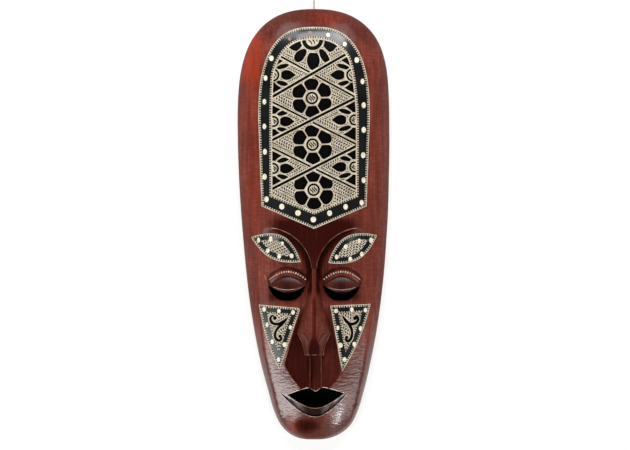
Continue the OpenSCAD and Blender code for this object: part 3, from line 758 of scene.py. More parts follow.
# Black resin: cast, scraped and polished, with faint scraper marks and a hard even gloss.
black_resin, tree = blank_material("black_resin")
place = add(tree, "TexCoord").outputs["Object"]
clouds = add(tree, "TexNoise", {"Vector": place, "Scale": 45.0, "Detail": 3.0})
tone = add(tree, "ValToRGB", (clouds,), stops=((0.35, "#0a0b0a"), (0.7, "#181b1a")))
# scraper marks about 0.6 mm apart
scraped = add(tree, "Mapping", {"Vector": place, "Rotation": (0.0, math.radians(28), 0.0),
                                "Scale": (1600.0, 1600.0, 60.0)})
marks = add(tree, "TexNoise", {"Vector": scraped, "Scale": 1.0, "Detail": 2.0})
uneven = add(tree, "Bump", {"Height": marks, "Strength": 0.15, "Distance": 0.0002})
gloss = add(tree, "MapRange", (marks, 0.0, 1.0, 0.24, 0.42))
finish_shader(tree, add(tree, "BsdfPrincipled", {
    "Base Color": tone, "Roughness": gloss, "Normal": uneven,
    "Specular IOR Level": 0.15, "Coat Weight": 0.85, "Coat Roughness": 0.14}))

# Black enamel on the petals, bars and scrolls: brushed on thickly, deep black and softly glossy.
black_enamel, tree, brushed, tone = toned_material("black_enamel", 260.0,
                                                   ((0.0, "#010101"), (1.0, "#060403")))
uneven = add(tree, "Bump", {"Height": brushed, "Strength": 0.2, "Distance": 0.0002})
finish_shader(tree, add(tree, "BsdfPrincipled", {
    "Base Color": tone, "Roughness": 0.5, "Normal": uneven, "Specular IOR Level": 0.05}))


def lime_shader(tree, colour):
    """Lime paste: chalky, with grains about 0.3 mm wide, a little dirt in them and a slight polish."""
    place = add(tree, "TexCoord").outputs["Object"]
    grains = add(tree, "TexNoise", {"Vector": place, "Scale": 1500.0, "Detail": 3.0, "Roughness": 0.7})
    rough = add(tree, "Bump", {"Height": grains, "Strength": 0.3, "Distance": 0.0002})
    finish_shader(tree, add(tree, "BsdfPrincipled", {
        "Base Color": colour, "Roughness": 0.55, "Normal": rough}))


def lime_tone(tree):
    place = add(tree, "TexCoord").outputs["Object"]
    dirt = add(tree, "TexNoise", {"Vector": place, "Scale": 220.0, "Detail": 4.0})
    tone = add(tree, "ValToRGB", (dirt,), stops=((0.3, "#b1a389"), (0.62, "#d9ceb9")))
    return tone


# Lime paste in plain engraved lines: pale cream, slightly dirty.
lime_paste, tree = blank_material("lime_paste")
lime_shader(tree, lime_tone(tree))

# Lime paste in a row of nicks, 2.8 mm apart: pale teeth with the black resin showing between them.
lime_teeth, tree = blank_material("lime_teeth")
run = add(tree, "UVMap", uv_map="run")
apart = add(tree, "SeparateXYZ", {"Vector": run})
wobble = add(tree, "TexNoise", {"Vector": run, "Scale": 0.35, "Detail": 1.0})
waver = add(tree, "Math", (wobble, 1.6), operation="MULTIPLY")
shifted = add(tree, "Math", (apart.outputs["X"], waver), operation="ADD")
pitches = add(tree, "Math", (shifted, 2.8), operation="DIVIDE")
tooth = add(tree, "Math", (pitches,), operation="FRACT")
pale = add(tree, "MapRange", (tooth, 0.44, 0.5, 1.0, 0.0))
start = add(tree, "MapRange", (tooth, 0.0, 0.08, 0.0, 1.0))
share = add(tree, "Math", (pale, start), operation="MULTIPLY")
both = add(tree, "Mix", {"Factor": share, 6: hex_colour("#060605"), 7: lime_tone(tree)}, data_type="RGBA")
lime_shader(tree, both)

# Lime paste in rows of short slanting nicks: rows 3.4 mm apart, nicks 3 mm apart along a row.
lime_stipple, tree = blank_material("lime_stipple")
run = add(tree, "UVMap", uv_map="run")
wobble = add(tree, "TexNoise", {"Vector": run, "Scale": 0.45, "Detail": 2.0})
apart = add(tree, "SeparateXYZ", {"Vector": run})
waver = add(tree, "Math", (wobble, 0.7), operation="MULTIPLY")
across = add(tree, "Math", (apart.outputs["Y"], waver), operation="ADD")
rows = add(tree, "Math", (across, 3.4), operation="DIVIDE")
in_row = add(tree, "Math", (rows,), operation="FRACT")
row = add(tree, "Math", (rows,), operation="FLOOR")
# each row slants its nicks to one side or the other
turn = add(tree, "Math", (row, 2.4), operation="MULTIPLY")
lean = add(tree, "Math", (turn,), operation="SINE")
leaning = add(tree, "Math", (lean, 1.3), operation="MULTIPLY")
from_middle = add(tree, "Math", (in_row, 0.45), operation="SUBTRACT")
slant = add(tree, "Math", (from_middle, leaning), operation="MULTIPLY")
# and starts a little further on than the row before it
step_on = add(tree, "Math", (row, 0.37), operation="MULTIPLY")
offset = add(tree, "Math", (slant, step_on), operation="ADD")
waver = add(tree, "Math", (wobble.outputs["Color"], 1.3), operation="MULTIPLY")
along = add(tree, "Math", (apart.outputs["X"], waver), operation="ADD")
pitches = add(tree, "Math", (along, 3.0), operation="DIVIDE")
placed = add(tree, "Math", (pitches, offset), operation="ADD")
nick = add(tree, "Math", (placed,), operation="FRACT")
centred = add(tree, "Math", (nick, 0.5), operation="SUBTRACT")
aside = add(tree, "Math", (centred,), operation="ABSOLUTE")
cut = add(tree, "MapRange", (aside, 0.29, 0.33, 1.0, 0.0))
off_row = add(tree, "Math", (in_row, 0.45), operation="SUBTRACT")
off_row = add(tree, "Math", (off_row,), operation="ABSOLUTE")
band = add(tree, "MapRange", (off_row, 0.36, 0.4, 1.0, 0.0))
share = add(tree, "Math", (cut, band), operation="MULTIPLY")
both = add(tree, "Mix", {"Factor": share, 6: lime_tone(tree), 7: hex_colour("#050504")}, data_type="RGBA")
lime_shader(tree, both)


def surface(x, z):
    return middle(x, z) if abs(x) < middle_half(z) else face(x, z)


def flat_shape(bm, outline):
    """A flat face from its outline of [x, z], turned to the front."""
    made = bm.faces.new([bm.verts.new((x, 0, z)) for x, z in outline])
    made.normal_update()
    if made.normal.y > 0:
        made.normal_flip()
    return made


def slice_flat(bm, point, normal, **settings):
    """Cuts flat shapes along a plane through a point."""
    whole = bm.verts[:] + bm.edges[:] + bm.faces[:]
    bmesh.ops.bisect_plane(bm, geom=whole, dist=0.0001, plane_co=point, plane_no=normal, **settings)


def cut_beyond(bm, point, direction):
    """Takes away what lies beyond a straight line through a point, where direction points."""
    slice_flat(bm, (point[0], 0, point[1]), (direction[0], 0, direction[1]), clear_outer=True)


def facet(bm, pitch=3.5):
    """Cuts flat shapes on even planes, so that layers laid over each other bend alike."""
    for axis in (0, 2):
        places = [v.co[axis] for v in bm.verts]
        for k in range(math.ceil(min(places) / pitch), math.floor(max(places) / pitch) + 1):
            point, normal = Vector(), Vector()
            point[axis] = k * pitch
            normal[axis] = 1
            slice_flat(bm, point, normal)


def turn_down(bm, depth):
    """Turns the open edges of a surface into the wood behind it."""
    turned = bmesh.ops.extrude_edge_only(bm, edges=[e for e in bm.edges if e.is_boundary])["geom"]
    for v in verts_of(turned):
        v.co.y += depth


def lay_on_face(bm, height, depth, lift=surface):
    """Lays flat shapes at a height above the carved face, and turns their edges down into it."""
    for v in bm.verts:
        v.co.y = -(lift(v.co.x, v.co.z) + height)
    turn_down(bm, depth)


def run_uv(bm, angle=0.0, faces=None):
    """Writes a UV in millimetres that runs along a direction across the flat shapes."""
    uv = bm.loops.layers.uv["run"] if "run" in bm.loops.layers.uv else bm.loops.layers.uv.new("run")
    c, s = math.cos(angle), math.sin(angle)
    for made in faces or bm.faces:
        for loop in made.loops:
            x, z = loop.vert.co.x, loop.vert.co.z
            loop[uv].uv = (x * c + z * s, z * c - x * s)


def fine(path, step=3.0):
    """A path with no stretch longer than a step."""
    made = [Vector(path[0])]
    for a, b in zip(path, path[1:]):
        a, b = Vector(a), Vector(b)
        n = max(1, math.ceil((b - a).length / step))
        made += [a.lerp(b, k / n) for k in range(1, n + 1)]
    return made


def strip(bm, path, near, far, closed=False, index=0):
    """A flat band along a path, from near to far millimetres on its left. UV X runs along it."""
    if "run" not in bm.loops.layers.uv:
        bm.loops.layers.uv.new("run")
    path = fine(list(path) + ([path[0]] if closed else []))
    n = len(path) - 1
    lefts = []
    for a, b in zip(path, path[1:]):
        d = (b - a).normalized()
        lefts.append(Vector((-d.y, d.x)))
    mitres = []
    lengths = [0.0]
    for k in range(n + 1):
        a = lefts[k - 1] if k else (lefts[-1] if closed else lefts[0])
        b = lefts[k] if k < n else (lefts[0] if closed else lefts[-1])
        mitres.append((a + b) / max(0.35, 1 + a.dot(b)))
        if k:
            lengths.append(lengths[-1] + (path[k] - path[k - 1]).length)
    widths = [(near(k / n), far(k / n)) if callable(near) else (near, far) for k in range(n + 1)]
    made = bmesh.ops.create_grid(bm, x_segments=n, y_segments=1, size=1.0)["verts"]
    uv = bm.loops.layers.uv["run"]
    spots = {}
    for v in made:
        k = round((v.co.x + 1) / 2 * n)
        spots[v] = k
        spot = path[k] + mitres[k] * widths[k][1 if v.co.y > 0 else 0]
        v.co = (spot.x, 0, spot.y)
    for made_face in {f for v in made for f in v.link_faces}:
        made_face.material_index = index
        for loop in made_face.loops:
            loop[uv].uv = (lengths[spots[loop.vert]], 0.0)


def arched(reach, spring, top, corner, foot, n=18):
    """The outline of an arch that stands on a shallow V."""
    curve = [(math.radians(90 * k / n)) for k in range(n)]
    right = [corner] + [(reach * math.cos(a) ** 0.76, spring + (top - spring) * math.sin(a) ** 0.76)
                        for a in curve]
    return [(0, foot)] + right + [(0, top)] + [(-x, z) for x, z in reversed(right)]


def circle(x, z, radius, n=24):
    return [(x + radius * math.cos(2 * math.pi * k / n),
             z + radius * math.sin(2 * math.pi * k / n)) for k in range(n)]


RESIN_UP = 0.30
GROUND_UP = 0.42
LINE_UP = 0.54
ENAMEL_UP = 0.66
forehead_edge = arched(64.8, 372, 479, (61, 270.8), 244.5)
# how far the field's freehand edge leaves the even arch on each side, outwards, as [height, distance]
FIELD_LEFT = [(372, 0), (396, 0.1), (406, 0.5), (415, 1.4), (424, 2.2), (433, 2.6), (440, 2.3),
              (448, 1.7), (456, 1.2), (465.6, 0)]
FIELD_RIGHT = [(372, 0), (392, -0.6), (404, -1.1), (416, -0.9), (427, -0.2), (437, 0.9), (445, 1.5),
               (456, 0.8), (465.6, 0)]


def freehand(x, z):
    if z <= FIELD_LEFT[0][0] or x == 0:
        return x, z
    return x + (along_table(z, FIELD_RIGHT) if x > 0 else -along_table(z, FIELD_LEFT)), z


forehead_field = [freehand(x, z) for x, z in arched(50, 372, 465.6, (49.8, 283.2), 263.3)]

bm = bmesh.new()
flat_shape(bm, forehead_edge)
facet(bm)
lay_on_face(bm, RESIN_UP, 2.0)
finish_piece("forehead_resin", bm, [black_resin], "black_resin", "forehead_panel", sharp=40)

# the field of nicks between the bars, whose rows follow the bars
RISING = [(425.7, 0.581), (372.1, 0.508), (315.7, 0.51)]
FALLING = [(423.4, -0.545), (367.3, -0.504), (314.7, -0.495)]
bm = bmesh.new()
flat_shape(bm, forehead_field)
for base, slope in RISING + FALLING:
    slice_flat(bm, (0, 0, base), (-slope, 0, 1))
facet(bm)


def crossing_of(rising, falling):
    """Where a rising bar crosses a falling one, as [x, z]."""
    x = (falling[0] - rising[0]) / (rising[1] - falling[1])
    return x, rising[0] + rising[1] * x


down, up = math.atan(-0.52), math.atan(0.52)
falling_rows, rising_rows = [], []
for made in bm.faces:
    middle_of = made.calc_center_median()
    rising = False
    for (r0, rs), (f0, fs) in zip(RISING, FALLING):
        over_rising = middle_of.z > r0 + rs * middle_of.x
        over_falling = middle_of.z > f0 + fs * middle_of.x
        if over_rising != over_falling:
            crossing, level = crossing_of((r0, rs), (f0, fs))
            rising = (middle_of.z > level) == (middle_of.x > crossing)
    top_base, top_slope = RISING[0]
    if middle_of.x > 0 and middle_of.z > max(top_base + top_slope * middle_of.x, FALLING[0][0]):
        rising = True
    (rising_rows if rising else falling_rows).append(made)
run_uv(bm, down, falling_rows)
run_uv(bm, up, rising_rows)
lay_on_face(bm, GROUND_UP, 0.5)
finish_piece("forehead_field", bm, [lime_stipple], "lime_filler", "forehead_linework", sharp=40)

# the lines round the panel and round the field, each with a row of teeth
bm = bmesh.new()
strip(bm, forehead_edge, 0.1, 0.9, closed=True)
strip(bm, forehead_edge, 0.9, 2.9, closed=True, index=1)
strip(bm, forehead_field, 0.1, 1.0, closed=True)
strip(bm, forehead_field, -1.9, 0.1, closed=True, index=1)
lay_on_face(bm, LINE_UP - 0.02, 0.3)
finish_piece("forehead_lines", bm, [lime_paste, lime_teeth], "lime_filler", "forehead_linework", sharp=40)


def bar_line(bm, line, half, from_x=-49.2, to_x=49.2):
    base, slope = line
    strip(bm, [(from_x, base + slope * from_x), (to_x, base + slope * to_x)], -half, half)


def inside_field(bm, inset):
    """Cuts bars and petals at the edge of the field."""
    edge = [Vector(p) for p in forehead_field]
    for a, b in zip(edge, edge[1:] + edge[:1]):
        d = (b - a).normalized()
        inward = Vector((-d.y, d.x))
        spot = a + inward * inset
        cut_beyond(bm, spot, -inward)


# pale bars with a black core; a rising bar runs over the falling one
bm = bmesh.new()
for line in FALLING:
    bar_line(bm, line, 2.1)
for line in RISING:
    bar_line(bm, line, 2.6)
inside_field(bm, 0.8)
lay_on_face(bm, LINE_UP, 0.3)
finish_piece("bar_edges", bm, [lime_paste], "lime_filler", "forehead_lattice", sharp=40)
bm = bmesh.new()
for line in RISING:
    bar_line(bm, line, 1.5)
for over, under in zip(RISING, FALLING):
    crossing = crossing_of(over, under)[0]
    gap = 2.6 / math.sin(math.atan(over[1]) - math.atan(under[1]))
    bar_line(bm, under, 1.1, to_x=crossing - gap)
    bar_line(bm, under, 1.1, from_x=crossing + gap)
inside_field(bm, 1.4)
lay_on_face(bm, ENAMEL_UP, 0.4)
finish_piece("bar_cores", bm, [black_enamel], "black_resin", "forehead_lattice", sharp=40)


def petal(bm, x, z, turn, profile, grow=0.0):
    """A petal that points down before it is turned, from a list of [distance, half width]."""
    longer = [-grow] + [0] * (len(profile) - 2) + [grow]
    right = [(half + (grow if half else 0), -(far + more)) for (far, half), more in zip(profile, longer)]
    outline = right + [(-a, b) for a, b in reversed(right) if a]
    c, s = math.cos(turn), math.sin(turn)
    flat_shape(bm, [(x + a * c - b * s, z + a * s + b * c) for a, b in outline])


def eased(profile, n=4):
    """More places between those of a profile, on a smooth curve."""
    first, last = profile[0][0], profile[-1][0]
    made = [first + (last - first) * k / (n * (len(profile) - 1))
            for k in range(n * (len(profile) - 1) + 1)]
    return [(far, max(0.0, along_table(far, profile))) for far in made]


def stroke_half(t):
    """Half the width of a short stroke, thinner at both ends."""
    return 0.75 * math.sin(math.pi * (0.2 + 0.6 * t))


def wavy_strokes(bm, x, z, radius, side=0):
    """Three short wavy brush strokes across a pale disc."""
    for k in (-1, 0, 1):
        half = 0.95 * math.sqrt(max(0.1, radius**2 - (k * radius * 0.52) ** 2)) - 0.6
        path = []
        for i in range(9):
            t = -1 + i / 4
            a = half * t
            b = k * radius * 0.52 + 0.6 * math.sin(t * 3.4)
            path.append((x + a * 0.5 + b * 0.87, z - a * 0.87 + b * 0.5))
        if side:
            path = [p for p in path if (p[0] - x) * side > -0.4]
        if len(path) > 2:
            strip(bm, path, lambda t: -stroke_half(t), stroke_half)


ROUND = eased([(9.2, 4.5), (11.5, 5.9), (14.2, 7.4), (17, 8.5), (19.8, 7.5), (21.8, 4.9), (23, 0)])
LOW_PETAL = eased([(15.4, 4.4), (19, 6.4), (24, 7.5), (29, 6.7), (33.4, 4.3), (37.2, 0)])
# petals of the top flower that reach the arch, as corners [x, z] from its heart
TOP_PETALS = [[(-9.6, -10.4), (-7.2, -11.8), (-6.4, -14.4), (-7.9, -18.2), (-10.2, -22.2), (-12.8, -25.2),
               (-16.4, -26.6), (-19.8, -25.4), (-21.5, -22.2), (-21.2, -18.6), (-19, -15), (-14.6, -12)],
              [(9, -10.6), (12.2, -11.4), (15.6, -14.6), (18.2, -18.6), (20, -22.8), (19.8, -26.2),
               (17.8, -27.8), (14.4, -26.8), (11.2, -23.6), (9, -19.8), (7.8, -15.8), (7.4, -12.6)],
              [(-14, 0.5), (-13.6, -3.4), (-12, -7.2), (-15, -10.8), (-18.6, -13.6), (-22.4, -12.6),
               (-26, -10.4), (-32, -5), (-22, 2)], [(14, 0.5), (13.8, -3.4), (12.4, -7.6), (15.6, -11),
                                                    (19.4, -14.8), (23.8, -13.4), (27, -9.4), (33, -5),
                                                    (22, 2)]]
LEAF = eased([(9.0, 3.0), (11.5, 4.9), (15, 5.8), (19.5, 4.8), (26.2, 0)])
# corners of the outer shapes of a half flower, as [distance, degrees from the inward direction]
DIAGONAL = [(9.1, 45), (11, 36.5), (14.5, 30.5), (18, 28.5), (23, 31), (20.6, 40), (16, 51), (11.6, 61),
            (9.1, 65)]
END_FIELD = [(9.1, 75), (12, 68.5), (17, 58), (21, 51.5), (30, 49), (36, 75), (34, 98), (9.1, 98)]
SIDE_PETAL = [(far * 1.06, half * 1.05) for far, half in ROUND]
flowers = [(-2.5, 396.2), (-1.8, 342.2), (-0.5, 289.9)]
top_flower = (-1.8, 464.0)


def runs_left(points):
    """Whether an outline runs against the clock."""
    return sum(Vector(a).cross(Vector(b)) for a, b in zip(points[-1:] + points, points)) > 0


def swollen(outline, amount):
    """An outline moved outwards by an amount."""
    points = [Vector(p) for p in outline]
    n = len(points)
    turn = -1 if runs_left(points) else 1
    made = []
    for k in range(n):
        a = (points[k] - points[k - 1]).normalized()
        b = (points[(k + 1) % n] - points[k]).normalized()
        left = (Vector((-a.y, a.x)) + Vector((-b.y, b.x))) * turn
        made.append(points[k] + left / max(0.5, 1 + a.dot(b)) * amount)
    return made


def side_hearts():
    """The half flowers from the top down, as [crossing, side, heart's x, z, radius, leaf's x]."""
    made = []
    for row, (rising, falling) in enumerate(zip(RISING, FALLING)):
        level = crossing_of(rising, falling)[1]
        for side in (-1, 1):
            if row:
                x, z, radius = side * 47.2, level + (1.2 if side > 0 else -0.6), 6.6
                leaf = x - (1.2 if side < 0 else 1.0)
            else:
                x, z, radius = (44.9 if side > 0 else -47.9), level - 1.5, 7.8
                leaf = x - side * 0.8
            made.append((row, side, x, z, radius, leaf))
    return made


def side_leaves(grow):
    """The half flowers at both sides of each crossing, cut off by the bars and the field's edge."""
    made = []
    for row, side, x, z, radius, leaf in side_hearts():
        bm = bmesh.new()
        petal(bm, leaf, z, math.radians(-90 * side), LEAF, grow)
        for way in (-1, 1):
            for corners in (DIAGONAL, END_FIELD):
                outline = [(x - side * far * math.cos(math.radians(turn)),
                            z + way * far * math.sin(math.radians(turn))) for far, turn in corners]
                flat_shape(bm, swollen(outline, grow))
        gap = 3.3 - grow
        for base, slope in (RISING[row], FALLING[row]):
            above = 1 if (slope > 0) == (side > 0) else -1
            across = Vector((-slope, 1)).normalized() * above
            cut_beyond(bm, Vector((0, base)) - across * gap, across)
        cut_beyond(bm, (side * 48.9, 0), (side, 0))
        made.append(bm)
    return made


def gather(bm, parts):
    """Adds the shapes of several meshes to one."""
    for part in parts:
        mesh = bpy.data.meshes.new("part")
        part.to_mesh(mesh)
        part.free()
        bm.from_mesh(mesh)
        bpy.data.meshes.remove(mesh)


def flower_shapes(grow):
    """The petals of the whole flowers, cut off where a bar crosses them."""
    made = []
    for x, z in flowers + [top_flower]:
        bm = bmesh.new()
        if (x, z) == top_flower:
            petal(bm, x + 0.9, z, 0.0, LOW_PETAL, grow)
            for corners in TOP_PETALS:
                flat_shape(bm, swollen([(x + a, z + b) for a, b in corners], grow))
        else:
            for k in range(6):
                petal(bm, x, z, math.radians(60 * k + 2), SIDE_PETAL if k % 3 else ROUND, grow)
        for base, slope in RISING + FALLING:
            across = Vector((-slope, 1)).normalized() * (1 if base > z else -1)
            cut_beyond(bm, Vector((0, base)) - across * (3.3 - grow), across)
        made.append(bm)
    return made


# pale outlines of the petals
bm = bmesh.new()
gather(bm, flower_shapes(1.1))
for x, z in flowers:
    flat_shape(bm, circle(x, z, 9.4))
flat_shape(bm, circle(*top_flower, 13.6, 32))
for row, side, x, z, radius, leaf in side_hearts():
    flat_shape(bm, circle(x, z, radius + 1.8))
gather(bm, side_leaves(1.1))
inside_field(bm, 0.8)
facet(bm)
lay_on_face(bm, LINE_UP - 0.04, 0.3)
finish_piece("petal_outlines", bm, [lime_paste], "lime_filler", "forehead_flowers", sharp=40)

# black petals, rings and the strokes on the flowers' hearts
bm = bmesh.new()
gather(bm, flower_shapes(0.0) + side_leaves(0.0))
if "run" not in bm.loops.layers.uv:
    bm.loops.layers.uv.new("run")
for x, z in flowers:
    strip(bm, circle(x, z, 7.4), 0.0, 2.3, closed=True)
    wavy_strokes(bm, x, z, 4.7)
strip(bm, circle(*top_flower, 12.4, 36), 0.0, 4.6, closed=True)
wavy_strokes(bm, *top_flower, 6.8)
for row, side, x, z, radius, leaf in side_hearts():
    strip(bm, circle(x, z, radius), 0.0, 2.2, closed=True)
    wavy_strokes(bm, x, z, radius - 2.6, -side)
inside_field(bm, 1.5)
facet(bm)
lay_on_face(bm, ENAMEL_UP, 0.4)
finish_piece("petals", bm, [black_enamel], "black_resin", "forehead_flowers", sharp=40)

# Cut shell: slices of mother-of-pearl, rubbed round on the upper edge, cream with a faint lustre.
cut_shell, tree, _, tone = toned_material("cut_shell", 330.0, ((0.3, "#d9c69c"), (0.6, "#f8f2df")),
                                          distortion=1.2)
finish_shader(tree, add(tree, "BsdfPrincipled", {
    "Base Color": tone, "Roughness": 0.3, "Coat Weight": 0.4, "Coat Roughness": 0.2,
    "Thin Film Thickness": 320.0}))

# Two of the slices have lost their lustre under a film of the brown stain.
dull_shell, tree, _, tone = toned_material("stained_shell", 500.0, ((0.35, "#6f4a40"), (0.65, "#a9806a")))
finish_shader(tree, add(tree, "BsdfPrincipled", {"Base Color": tone, "Roughness": 0.4}))


def shell_dots(name, node, dots, lift=surface, dull=()):
    """Slices of shell set in round holes: a disc, its rim rounded over in two steps."""
    bm = bmesh.new()
    for index, (x, z, wide, tall) in enumerate(dots):
        ring = bmesh.ops.create_circle(bm, cap_ends=True, segments=18, radius=1.0)["verts"]
        bmesh.ops.rotate(bm, verts=ring, cent=(0, 0, 0), matrix=Matrix.Rotation(math.radians(90), 3, "X"))
        slope_x = (lift(x + 1, z) - lift(x - 1, z)) / 2
        slope_z = (lift(x, z + 1) - lift(x, z - 1)) / 2
        for v in ring:
            v.co = (x + v.co.x * wide, 0, z + v.co.z * tall)
        disc = ring[0].link_faces[0]
        disc.normal_update()
        if disc.normal.y > 0:
            disc.normal_flip()
        tops = [disc]
        for inset, rise in ((0.35, 0.3), (0.6, 0.25), (0.7, 0.1)):
            bmesh.ops.inset_region(bm, faces=tops, thickness=inset, depth=rise)
        whole = {v for f in tops for v in f.verts} | set(ring)
        reach = {v for r in ring for e in r.link_edges for v in e.verts} | whole
        grown, last = set(reach), None
        while last != grown:
            last = set(grown)
            grown |= {v for g in last for e in g.link_edges for v in e.verts}
        for made in {f for v in grown for f in v.link_faces}:
            made.material_index = 1 if index in dull else 0
        for v in grown:
            v.co.y += -(lift(x, z) + slope_x * (v.co.x - x) + slope_z * (v.co.z - z) + RESIN_UP - 0.25)
    finish_piece(name, bm, [cut_shell, dull_shell] if dull else [cut_shell], "shell", node, sharp=70)


forehead_dots = [(-49.5, 442.4, 2.7, 3.2), (-56.2, 419.5, 2.2, 3.2), (-57.6, 392, 2.2, 3.3),
                 (-57.6, 363.4, 2.2, 3.3), (-57, 334, 2.3, 3.4), (-57.4, 305, 2.5, 3.5),
                 (-55.2, 279, 2.7, 3.4), (49.5, 440.4, 2.8, 3.3), (56.2, 415.5, 2.3, 3.3),
                 (57.6, 388, 2.5, 3.5), (57.6, 359.4, 2.6, 3.5), (57, 330, 2.6, 3.5),
                 (57.4, 301, 2.3, 3.4), (55.2, 275, 2.4, 3.2), (-28, 465, 1.9, 2.2), (-5, 472, 2.3, 2.4),
                 (16.3, 469.4, 2.3, 2.6), (35.6, 458.8, 2.3, 2.7), (-37.4, 270.4, 3.0, 3.3),
                 (-18.6, 263, 3.2, 3.3), (-0.8, 255.4, 3.2, 3.3), (18, 262.8, 2.8, 3.3),
                 (36.6, 270.2, 2.7, 3.3)]
shell_dots("forehead_dots", "forehead_shell_dots", forehead_dots, dull=(14, 15))

# ---- Brow panels --------------------------------------------------------------------------
# A leaf of black resin let in above each eye, with a pale edge, a core of pale nicks and six
# slices of shell. The two were cut freehand and differ a little.


def bulged(a, b, bulge, n=16):
    """An edge from one corner to the next, swelling to its left."""
    a, b = Vector(a), Vector(b)
    d = b - a
    side = Vector((-d.y, d.x)).normalized()
    return [a + d * k / n + side * bulge * math.sin(math.pi * k / n) ** 0.9 for k in range(n)]


def inset_outline(outline, amount):
    """The part of an outline that lies at least an amount inside it: a polygon cut on every side."""
    bm = bmesh.new()
    flat_shape(bm, outline)
    points = [Vector(p) for p in outline]
    way = 1 if runs_left(points) else -1
    for a, b in zip(points, points[1:] + points[:1]):
        d = (b - a).normalized()
        inward = Vector((-d.y, d.x)) * way
        cut_beyond(bm, a + inward * amount, -inward)
    return bm


def panel(name, outline, node_panel, node_lines, core, row_angle, teeth_on_core=False):
    """A black panel with a pale toothed edge and a pale core of nicks."""
    if not runs_left(outline):
        outline = outline[::-1]
    bm = bmesh.new()
    flat_shape(bm, outline)
    facet(bm)
    lay_on_face(bm, RESIN_UP, 2.0)
    finish_piece(name + "_resin", bm, [black_resin], "black_resin", node_panel, sharp=40)
    bm = bmesh.new()
    strip(bm, outline, 0.0, 0.7, closed=True)
    strip(bm, outline, 0.7, 2.7, closed=True, index=1)
    lay_on_face(bm, LINE_UP - 0.1, 0.3)
    finish_piece(name + "_lines", bm, [lime_paste, lime_teeth], "lime_filler", node_lines, sharp=40)
    bm = inset_outline(outline, core)
    if teeth_on_core:
        edge = [v.co for v in bm.verts]
        centre = sum(edge, Vector()) / len(edge)
        ordered = sorted(({(v.co.x, v.co.z) for v in bm.verts}),
                         key=lambda p: math.atan2(p[1] - centre.z, p[0] - centre.x))
    facet(bm)
    run_uv(bm, row_angle)
    if teeth_on_core:
        strip(bm, ordered, -1.3, 0.4, closed=True, index=1)
    lay_on_face(bm, GROUND_UP, 0.4)
    finish_piece(name + "_core", bm, [lime_stipple, lime_teeth], "lime_filler", node_lines, sharp=40)


BROW_TIPS = {"left": ((-73, 235), (-15.5, 206.3), 17.5, 11.5),
             "right": ((73, 237.2), (16.6, 205.2), -16.2, -13.6)}
BROW_DOTS = {"left": [(-64.4, 231.4, 1.9, 3.0), (-50.3, 232.8, 2.1, 3.3), (-36.8, 227.6, 1.8, 2.4),
                      (-26, 213.2, 2.2, 2.8), (-40.5, 212.8, 2.2, 2.7), (-53.8, 219.4, 2.2, 2.7)],
             "right": [(66.2, 231.4, 2.4, 3.1), (52.4, 230.6, 1.9, 2.9), (36.8, 223.8, 2.3, 2.8),
                       (26.2, 212, 2.2, 2.8), (42, 209.6, 2.1, 2.9), (55.4, 215.4, 2.1, 2.8)]}
for side, (outer, inner, over, under) in BROW_TIPS.items():
    leaf = bulged(outer, inner, over) + bulged(inner, outer, under)
    tilt = math.atan2(inner[1] - outer[1], inner[0] - outer[0])
    panel("brow_" + side, leaf, "brow_panel_" + side, "brow_linework_" + side, 7.2, tilt + 0.9)
    shell_dots("brow_dots_" + side, "brow_shell_dots_" + side, BROW_DOTS[side])

# ---- Cheek panels -------------------------------------------------------------------------
# A three-cornered sheet of black resin let into each cheek, with a toothed edge, eight slices
# of shell, and a scroll of black enamel brushed on its pale core.
CHEEK_TIPS = {"left": [((-64, 156.8), (-40, 81.2), -3.4), ((-40, 81.2), (-16.4, 151), 0),
                       ((-16.4, 151), (-18.2, 152.9), 0), ((-18.2, 152.9), (-64, 156.8), 0)],
              "right": [((18.8, 155.6), (32.8, 79.4), 0), ((32.8, 79.4), (65.6, 157.5), -3.8),
                        ((65.6, 157.5), (18.8, 155.6), 0)]}
CHEEK_DOTS = {"left": [(-58, 151.3, 2.2, 2.9), (-40.8, 149.4, 2.1, 2.4), (-24.4, 147.8, 2.2, 2.7),
                       (-54.6, 133.4, 1.8, 2.8), (-27.6, 130.4, 1.8, 2.6), (-48.6, 113.6, 1.9, 2.8),
                       (-34.2, 110.4, 2.6, 2.7), (-41.2, 93, 1.8, 2.7)],
              "right": [(25.5, 149.4, 2.4, 2.6), (43.8, 151, 2.2, 2.8), (59.6, 150.4, 2.0, 2.7),
                        (27.7, 129.8, 1.8, 2.8), (53.8, 129, 1.9, 2.8), (30.6, 109.6, 2.7, 2.9),
                        (46.6, 110.8, 2.0, 2.7), (35.4, 93, 2.3, 2.8)]}
# strokes of the brush as [x, z, half width]
SCROLLS = {"left": [[(-29.8, 142.3, 0.3), (-32.4, 139.6, 1.2), (-35.8, 136.6, 1.8), (-40.4, 134.6, 1.5),
                     (-45.2, 134.2, 1.4), (-49.2, 136.2, 1.5), (-50.8, 140.2, 1.3), (-49.4, 143.4, 1.1),
                     (-46.4, 144, 0.8)], [(-34, 138, 1.2), (-37.6, 134.2, 1.8), (-41.2, 130.4, 1.4),
                                          (-44.2, 126, 1.3), (-45.4, 121.4, 1.4), (-44.2, 117.2, 1.4),
                                          (-41, 115, 1.4), (-38.2, 116.6, 1.2), (-37.6, 119.6, 1.0)]],
           "right": [[(33, 144.2, 0.5), (35, 140.8, 1.2), (37.5, 137.6, 1.7), (40.8, 134.8, 1.6),
                      (44.8, 134.2, 1.5), (49, 136, 1.5), (51.2, 139.6, 1.4), (50.2, 143, 1.2),
                      (47.6, 143.8, 0.8)], [(37.8, 137, 1.2), (41.2, 133, 1.6), (43.4, 128.6, 1.4),
                                            (44.2, 124, 1.3), (43.4, 119, 1.4), (41.2, 115.2, 1.5),
                                            (38.2, 114.6, 1.4), (36.2, 117, 1.2)]]}
